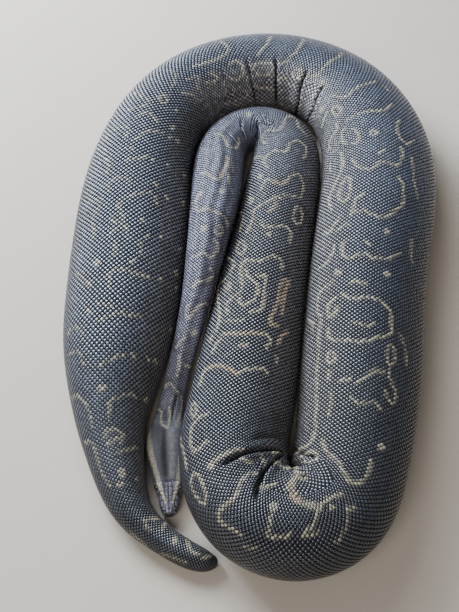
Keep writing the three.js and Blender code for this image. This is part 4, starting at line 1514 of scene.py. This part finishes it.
# %% Drawing boards
BOARD_LENGTH = 0.15  # from the snout
SIDE_SHARE = 0.45  # of the half width: further out than this is seen from the side
FRONT_DEPTH = 0.0058  # nearer to the snout than this is seen from the front
LARGEST_HEAD_STEP = np.array([0.0008, 0.006])
head_rows = np.flatnonzero(row_s > LENGTH - BOARD_LENGTH)
head_right = sizes["right"][head_rows[len(head_rows) // 2]]
head_back = np.broadcast_to((LENGTH - row_s[head_rows])[:, None], (len(head_rows), COLUMNS))
head_across = (smooth_grid[head_rows] - sizes["centre"][head_rows][:, None]) @ head_right
head_height = smooth_grid[head_rows][..., 2]
far_out = out[head_rows] > SIDE_SHARE * sizes["half_width"][head_rows, None]
top_board, side_board = np.stack([head_back, head_across], -1), np.stack([head_back, head_height], -1)
BOARDS = {
    "above": (top_board, lifted[head_rows] > 0),
    "right": (side_board, (column_f > 0) & far_out),
    "left": (side_board, (column_f < 0) & far_out),
    "front": (np.stack([head_across, head_height], -1), head_back < FRONT_DEPTH),
    "below": (top_board, lifted[head_rows] < 0),
}


def on_head(points, board):
    """Addresses of points drawn on a board, in metres: the nearest node that the board shows, then one
    correcting step along the board's own slopes."""
    seen, shown = BOARDS[board]
    found = []
    for point in np.asarray(points, float):
        i, j = nearest_node(point, seen, shown)
        found.append(stepped(point, seen, row_s[head_rows], i, j, LARGEST_HEAD_STEP, 1e-2))
    return np.array(found)


print("boards", list(BOARDS), "from", len(head_rows), "rings")

# %% Shield outlines
# Seen from above, right half, in millimetres: behind the snout, out from the midline. The left half is
# the mirror image.
TOP_SHIELDS = {
    "internasal": [(4.2, 0.35), (10.5, 0.35), (11.5, 4.8), (5.6, 5.0)],
    "nasal_front": [(5.0, 5.5), (8.0, 5.4), (8.4, 8.6), (5.8, 8.2)],
    "nasal_rear": [(9.6, 5.5), (12.6, 5.4), (13.2, 9.8), (9.8, 9.3)],
    "front_prefrontal": [(11.1, 0.35), (20.5, 0.35), (21.5, 7.2), (13.4, 8.3), (12.2, 5.0)],
    "rear_prefrontal_inner": [(21.2, 0.35), (28.0, 0.35), (28.6, 4.6), (22.0, 5.2)],
    "rear_prefrontal_outer": [(22.4, 5.8), (28.9, 5.2), (30.0, 9.6), (22.8, 9.9)],
    "frontal": [(28.7, 0.35), (40.5, 0.35), (40.0, 5.0), (34.5, 6.4), (29.2, 4.6)],
    "front_supraocular": [(30.2, 6.3), (34.3, 7.1), (36.0, 13.6), (30.8, 11.6)],
    "supraocular": [(35.0, 7.1), (40.6, 5.8), (48.0, 7.6), (49.0, 13.6), (43.0, 15.2), (36.7, 13.9)],
    "parietal_inner": [(41.3, 0.35), (46.8, 0.35), (47.4, 3.6), (41.4, 4.9)],
    "parietal_outer": [(42.0, 5.3), (47.4, 4.2), (50.6, 6.6), (48.4, 7.0)],
    "canthal": [(14.0, 9.1), (21.8, 8.1), (22.2, 11.6), (14.8, 11.2)],
    "rear_canthal": [(23.2, 10.6), (29.8, 10.4), (30.2, 13.4), (23.6, 13.0)],
}
CHIN_SHIELDS = {
    "front_chin": [(7.0, 0.5), (20.0, 0.5), (22.0, 3.4), (9.0, 3.6)],
    "rear_chin": [(21.0, 0.5), (34.0, 0.5), (34.0, 2.6), (23.0, 3.3)],
}
UPPER_LIPS = 13, 0.0008, 0.0060, 0.0006  # plates, edge at the mouth, edge away from it, lean
LOWER_LIPS = 17, -0.0006, -0.0050, 0.0008
LIP_FRONT, LIP_REAR = 0.0050, 0.103
OCULAR_RING, OCULAR_AT, OCULAR_HALF = 11, 0.0069, 0.0018
TOP_THICKNESS, CHIN_THICKNESS, LIP_THICKNESS, SMALL_THICKNESS = 0.00048, 0.0005, 0.0007, 0.0006
CUT = 0.20  # share of a side that is cut off at each corner
plates = []  # outline as addresses, thickness


def soft_corners(corners):
    """Corners cut off twice, each time at a fifth of every side."""
    for _ in range(2):
        after = np.roll(corners, -1, axis=0)
        kept = 1 - CUT
        corners = np.stack([kept * corners + CUT * after, CUT * corners + kept * after], 1).reshape(-1, 2)
    return corners


def add_plate(outline, board, thickness):
    """A plate from an outline in metres on a board."""
    plates.append((on_head(soft_corners(np.asarray(outline)), board), thickness))


SHIELDS = (TOP_SHIELDS, "above", TOP_THICKNESS), (CHIN_SHIELDS, "below", CHIN_THICKNESS)
for outlines, board, thickness in SHIELDS:
    for corners in outlines.values():
        for mirror in (1, -1):
            add_plate(np.array(corners) * MM * (1, mirror), board, thickness)
print(len(plates), "shields on top and under the chin")


# %% Lip plates and eye ring
SNOUT_PLATES = [  # outline seen from the front, thickness
    ([(-0.0044, 0.0098), (0.0044, 0.0098), (0.0030, 0.0150), (-0.0030, 0.0150)], LIP_THICKNESS),
    ([(-0.0036, 0.0040), (0.0036, 0.0040), (0.0042, 0.0078), (-0.0042, 0.0078)], SMALL_THICKNESS),
]
LIP_GAP = 0.00025  # left free at either end of a lip plate
OCULAR_REACH = 0.0014  # half the length of a plate of the eye ring, outwards from the eye


def lip_row(number, low, high, lean):
    """Outlines of a row of lip plates as seen from the side: parts of the lip that grow slowly shorter
    backwards, each leaning a little."""
    edges = LIP_FRONT + (LIP_REAR - LIP_FRONT) * np.linspace(0, 1, number + 1) ** 0.94
    outlines = []
    for a, b in zip(edges[:-1] + LIP_GAP, edges[1:] - LIP_GAP):
        za, zb = np.interp([a, b], *MOUTH_LINE.T)
        tall = (high - low) * np.interp((a + b) / 2, [0.004, 0.02, 0.06, 0.104], [0.62, 0.90, 1.0, 0.8])
        za, zb = za + low, zb + low
        outlines.append([(a, za), (b, zb), (b + lean, zb + tall), (a + lean, za + tall)])
    return outlines


def eye_ring_plate(angle):
    """Outline of one plate of the ring round the eye, a little wider outwards."""
    direction = np.array([np.cos(angle), np.sin(angle)])
    middle = np.array([EYE_BACK, EYE_HEIGHT]) + OCULAR_AT * direction
    outward = direction * OCULAR_REACH
    beside = np.array([-direction[1], direction[0]]) * OCULAR_HALF * 0.93
    inner, outer = middle - outward, middle + outward
    return [inner - 0.75 * beside, outer - beside, outer + beside, inner + 0.75 * beside]


for board in ("right", "left"):
    for outline in lip_row(*UPPER_LIPS):
        add_plate(outline, board, LIP_THICKNESS)
    for outline in lip_row(*LOWER_LIPS):
        add_plate(outline, board, SMALL_THICKNESS)
    for angle in np.arange(OCULAR_RING) * 2 * np.pi / OCULAR_RING:
        add_plate(eye_ring_plate(angle), board, SMALL_THICKNESS)
for outline, thickness in SNOUT_PLATES:
    add_plate(outline, "front", thickness)
print(len(plates), "plates on the head")

# %% Scales that the shields leave room for
TOP_EDGE = np.array([  # behind the snout, edge of the shields out from the midline, in millimetres
    (0, 9), (5, 9), (14, 11.6), (22, 12), (30, 13.8), (36, 14), (43, 15.6), (49, 14.5), (51, 7), (52, 0),
])
TOP_LAST, EYE_FREE, SNOUT_LAST, HEAD_REACH = 0.052, 0.0088, 0.0062, 0.13
LIP_BELOW, LIP_ABOVE = 0.0056, 0.0066
CHIN_OUT, CHIN_LAST = 0.0042, 0.034
place_back = LENGTH - scales["s"]
place = read_grid(smooth_grid, scales["s"], scales["f"])
place_out = np.abs(((place - spine_at(scales["s"])["centre"]) * head_right).sum(-1))
place_height = place[:, 2]
place_top = read_grid(lifted[..., None], scales["s"], scales["f"])[:, 0] > 0
top_edge = np.interp(place_back / MM, *TOP_EDGE.T) * MM
above_lip = place_height - np.interp(place_back, *MOUTH_LINE.T)
eye_gap = np.hypot(place_back - EYE_BACK, place_height - EYE_HEIGHT)
from_side = place_out > 0.5 * np.interp(scales["s"], row_s, sizes["half_width"])
on_lip = (place_back < LIP_REAR + 0.001) & (above_lip > -LIP_BELOW) & (above_lip < LIP_ABOVE)
covered = (
    (place_top & (place_back < TOP_LAST) & (place_out < top_edge))
    | (from_side & on_lip)
    | (from_side & (eye_gap < EYE_FREE))
    | (place_back < SNOUT_LAST)
    | (~place_top & (place_out < CHIN_OUT) & (place_back < CHIN_LAST))
)
covered &= place_back < HEAD_REACH
scales = {name: part[~covered] for name, part in scales.items()}
print(len(scales["s"]), "scales to make")

# %% [markdown]
# ## One scale
#
# Seen from above a dorsal scale is a rounded lozenge. Its front edge is tucked into the skin, its back
# tip lies over the next scale. A ring of eight points below the skin, a raised ring of eight within
# it and flat caps are enough, because smooth shading makes the dome, and there are tens of thousands.

# %% Scale template
CORNERS = 8
LOZENGE = 2 / 1.5  # power of sine and cosine: 1 would be an ellipse, 2 a lozenge with straight sides
INNER = 0.56  # size of the raised ring against the outline
SCALE_RISE, SCALE_SINK, SCALE_TILT = 0.27, 0.12, 0.09  # against the row pitch
LENGTH_SHARE, WIDTH_SHARE, LONGEST = 0.56, 0.98, 1.25  # half length, half width, most room that is used
corner_angle = 2 * np.pi * np.arange(CORNERS) / CORNERS
edge_along, edge_across = (
    np.sign(wave) * np.abs(wave) ** LOZENGE for wave in (np.cos(corner_angle), np.sin(corner_angle))
)
template_along = np.r_[edge_along, INNER * edge_along]
template_across = np.r_[edge_across, INNER * edge_across]
template_lift = np.repeat([-SCALE_SINK, SCALE_RISE], CORNERS) - SCALE_TILT * template_along
template_sides = ring_faces(0, CORNERS, CORNERS)
cap = np.array([(0, i, i + 1) for i in range(1, CORNERS - 1)])
template_faces = np.vstack([template_sides, CORNERS + cap, cap[:, ::-1]])
print(len(template_faces), "triangles in a scale")

# %% Scales in pieces
SCALES_IN_A_PIECE = 7000
UV_PATCH = 0.003  # size of a scale's patch in the texture
PIECE_ENDS = {  # first station, last station, slot, finish
    "tail": (0, 6, "tail_skin", tail_finish),
    "trunk": (6, 42.4, "trunk_skin", scale_finish),
    "head": (42.4, 55, "head_skin", head_finish),
}
scale_chance = np.random.default_rng(4).random(len(scales["s"]))
scale_pattern = pattern(scales["s"], scales["f"], scale_chance)
scale_field = field(scales["s"], scales["f"])
scale_station = station_at(scales["s"])


def scale_piece(name, chosen, finish):
    """Joined scales: the template's along and across are turned into steps of s and f by each scale's
    size, stretch and girth, and every corner is then found on the surface and lifted."""
    part = {key: value[chosen][:, None] for key, value in scales.items()}
    half_long = LENGTH_SHARE * part["step"] * np.minimum(part["ratio"], LONGEST) / part["stretch"]
    s = np.clip(part["s"] + half_long * template_along, skin_s[1], skin_s[-2])
    arc = part["f"] * 2 * part["side"] + WIDTH_SHARE * part["pitch"] * template_across
    f = arc / (2 * side_length(s, arc))
    points = surface(s, f, part["pitch"] * template_lift).reshape(-1, 3)
    count = len(part["s"])
    faces = (template_faces[None] + 2 * CORNERS * np.arange(count)[:, None, None]).reshape(-1, 3)
    low, high = s.min(), s.max()
    middle = np.column_stack([(part["s"][:, 0] - low) / (high - low), part["f"][:, 0] + 0.5])
    middle = middle * (1 - 2 * UV_PATCH) + UV_PATCH
    patch = UV_PATCH / 2 * np.column_stack([template_along, template_across])
    uv = (middle[:, None] + patch[None]).reshape(-1, 2)[faces.ravel()]
    rim = np.r_[np.ones(CORNERS), np.zeros(CORNERS)]
    stored_field = np.repeat(scale_field[chosen], 2 * CORNERS, axis=0)
    stored_field[:, 3] = np.tile(rim, count)
    colours = {"pattern": np.repeat(scale_pattern[chosen], 2 * CORNERS, axis=0), "field": stored_field}
    return make_piece(name, points, faces, finish, colours, uv)


for part, (first_station, last_station, slot, finish) in PIECE_ENDS.items():
    within = np.flatnonzero((scale_station >= first_station) & (scale_station < last_station))
    within = within[np.argsort(scales["s"][within], kind="stable")]
    for number, chosen in enumerate(np.array_split(within, -(-len(within) // SCALES_IN_A_PIECE)), 1):
        scale_piece(f"{part}_scales_{number}", chosen, finish)
    print(part, "has", len(within), "scales")

# %% [markdown]
# ## Belly plates
#
# Under the body one row of broad plates carries the animal. Each is as wide as the belly and overlaps
# the one behind it. Only their ends show at the ground, but they are what makes the flank end in a
# row of pale corners. Each is a strip across the belly with a low front edge and a raised back edge.

# %% Belly plates
PLATE_STEP = 2.1  # a plate's step along the body against the scales' step
PLATE_FREE = 0.008  # no plates nearer than this to the skin's tail end
PLATE_ACROSS = np.linspace(-1, 1, 13)
PLATE_PROFILE = np.array([(0.60, -0.0004), (0.42, 0.0004), (-0.52, 0.0011), (-0.64, -0.0002)])  # along, lift
SHORTER_ENDS, FLATTER_ENDS = 0.35, 0.6  # how much shorter and flatter a plate is at its two ends


def plate_template():
    """Triangles of one plate: the profile's loop of points swept across the belly and closed at the ends."""
    loop = len(PLATE_PROFILE)
    starts = np.arange(len(PLATE_ACROSS)) * loop
    strip = [ring_faces(start, start + loop, loop) for start in starts[:-1]]
    end = starts[-1]
    ends = np.array([(0, 2, 1), (0, 3, 2), (end, end + 1, end + 2), (end, end + 2, end + 3)])
    return np.vstack([*strip, ends])[:, ::-1]


plate_number = np.arange(2, int(steps_fine[-1] / PLATE_STEP))
plate_s = np.interp(plate_number * PLATE_STEP, steps_fine, s_fine)
plate_s = plate_s[(plate_s > COAT + PLATE_FREE) & (plate_s < at_station(VENTRAL_LAST))]
plate_step = np.interp(plate_s, s_fine, 1 / rate_fine) * PLATE_STEP
plate_girth = side_length(plate_s, 1.0) + side_length(plate_s, -1.0)
plate_half = np.interp(station_at(plate_s), *VENTRAL_HALF.T) / plate_girth
taper = 1 - SHORTER_ENDS * np.abs(PLATE_ACROSS) ** 6
flatter = 1 - FLATTER_ENDS * np.abs(PLATE_ACROSS) ** 8
reach = plate_step[:, None, None] * PLATE_PROFILE[:, 0] * taper[:, None]
corner_s = plate_s[:, None, None] + reach
corner_f = 0.5 + plate_half[:, None, None] * PLATE_ACROSS[:, None] + 0 * corner_s
corner_lift = PLATE_PROFILE[:, 1] * flatter[:, None] + 0 * corner_s
plate_points = surface(corner_s, corner_f, corner_lift).reshape(-1, 3)
one_plate = plate_template()
points_in_one = len(PLATE_PROFILE) * len(PLATE_ACROSS)
plate_faces = (one_plate + points_in_one * np.arange(len(plate_s))[:, None, None]).reshape(-1, 3)
plate_share = (corner_s - corner_s.min()) / (corner_s.max() - corner_s.min())
plate_uv = np.stack([plate_share, corner_f], -1).reshape(-1, 2)[plate_faces.ravel()]
flat_s, flat_f = corner_s.ravel(), (corner_f.ravel() + 0.5) % 1 - 0.5
plate_pattern = pattern(flat_s, flat_f, np.full(flat_s.size, 0.5))
plate_colours = {"pattern": plate_pattern, "field": field(flat_s, flat_f)}
make_piece("belly_plates", plate_points, plate_faces, belly_plate(), plate_colours, plate_uv)
print(len(plate_s), "belly plates of", len(one_plate), "triangles")

# %% [markdown]
# ## Shields and eyes
#
# The shields outlined above become low cushions: an edge below the skin, a shoulder and a flatter
# middle. The eyes are balls set deep in their sockets, fine enough to look round.

# %% Head shield mesh
SHIELD_RINGS = np.array([(1.06, -0.5), (0.96, 0.55), (0.74, 0.95)])  # shares of the outline and thickness
SHIELD_DEPTH = 0.6  # of the point below the middle, against the thickness


def cushion(outline, thickness):
    """Addresses, points and triangles of a shield: three rings from the edge inwards, a point on top of
    the middle and one below it. The triangles are turned so that they face away from the lower point."""
    middle, n = outline.mean(0), len(outline)
    rings = [middle + share * (outline - middle) for share in SHIELD_RINGS[:, 0]]
    places = np.vstack([*rings, middle, middle])
    lifts = np.r_[np.repeat(SHIELD_RINGS[:, 1] * thickness, n), thickness, -SHIELD_DEPTH * thickness]
    points = surface(np.clip(places[:, 0], skin_s[1], skin_s[-2]), places[:, 1], lifts)
    top, below = 3 * n, 3 * n + 1
    sides = [ring_faces(0, n, n), ring_faces(n, 2 * n, n)]
    faces = np.vstack([*sides, fan(top, 2 * n, n, True), fan(below, 0, n, False)])
    a, b, c = (points[faces[:, corner]] for corner in range(3))
    away = (np.cross(b - a, c - a) * (a - points[below])).sum()
    return places, points, faces if away > 0 else faces[:, ::-1]


cushions = [cushion(*plate) for plate in plates]
points_in_each = [len(points) for _, points, _ in cushions]
shield_s, shield_f = np.vstack([places for places, _, _ in cushions]).T
shield_points = np.vstack([points for _, points, _ in cushions])
starts = np.cumsum([0, *points_in_each])
shield_faces = np.vstack([faces + start for (_, _, faces), start in zip(cushions, starts)])
shield_chance = np.repeat(np.random.default_rng(9).random(len(plates)), points_in_each)
shield_uv = np.column_stack([(LENGTH - shield_s) / HEAD_REACH, (shield_f + 0.5) % 1.0])[shield_faces.ravel()]
shield_colours = {"pattern": pattern(shield_s, shield_f, shield_chance), "field": field(shield_s, shield_f)}
make_piece("head_shields", shield_points, shield_faces, head_finish, shield_colours, shield_uv)
print(len(plates), "shields,", len(shield_faces), "triangles")


# %% Eyes
def ball(middle, radius, across=40, round_about=64):
    """A sphere from rings of sine and cosine, with one point at each pole."""
    up = (np.pi * np.arange(1, across) / across)[:, None]
    about = 2 * np.pi * np.arange(round_about) / round_about
    rings = np.stack([np.sin(up) * np.cos(about), np.sin(up) * np.sin(about), np.cos(up) + 0 * about], -1)
    points = np.vstack([rings.reshape(-1, 3), (0, 0, 1), (0, 0, -1)]) * radius + middle
    starts = np.arange(across - 1) * round_about
    faces = [ring_faces(start, start + round_about, round_about)[:, ::-1] for start in starts[:-1]]
    faces.append(fan(len(points) - 2, 0, round_about, True))
    faces.append(fan(len(points) - 1, starts[-1], round_about, False))
    around = np.append(np.tile(np.arange(round_about) / round_about, across - 1), (0.5, 0.5))
    down = np.append(np.repeat(up / np.pi, round_about), (0, 1))
    faces = np.vstack(faces)
    return points, faces, np.column_stack([around, down])[faces.ravel()]


EYES = "eye_left", "eye_right"
eye_middles = np.array([np.mean(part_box(node), axis=0) for node in EYES])
for node, eye_middle in zip(EYES, eye_middles):
    eye_points, eye_faces, eye_uv = ball(eye_middle, EYE_RADIUS)
    eye_finish = eye_ball(eye_middles, EYE_RADIUS)
    eye = make_piece(node.replace("eye", "eyeball"), eye_points, eye_faces, eye_finish, None, eye_uv)
    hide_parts(node)
print("eyes at", np.round(eye_middles, 4).tolist())
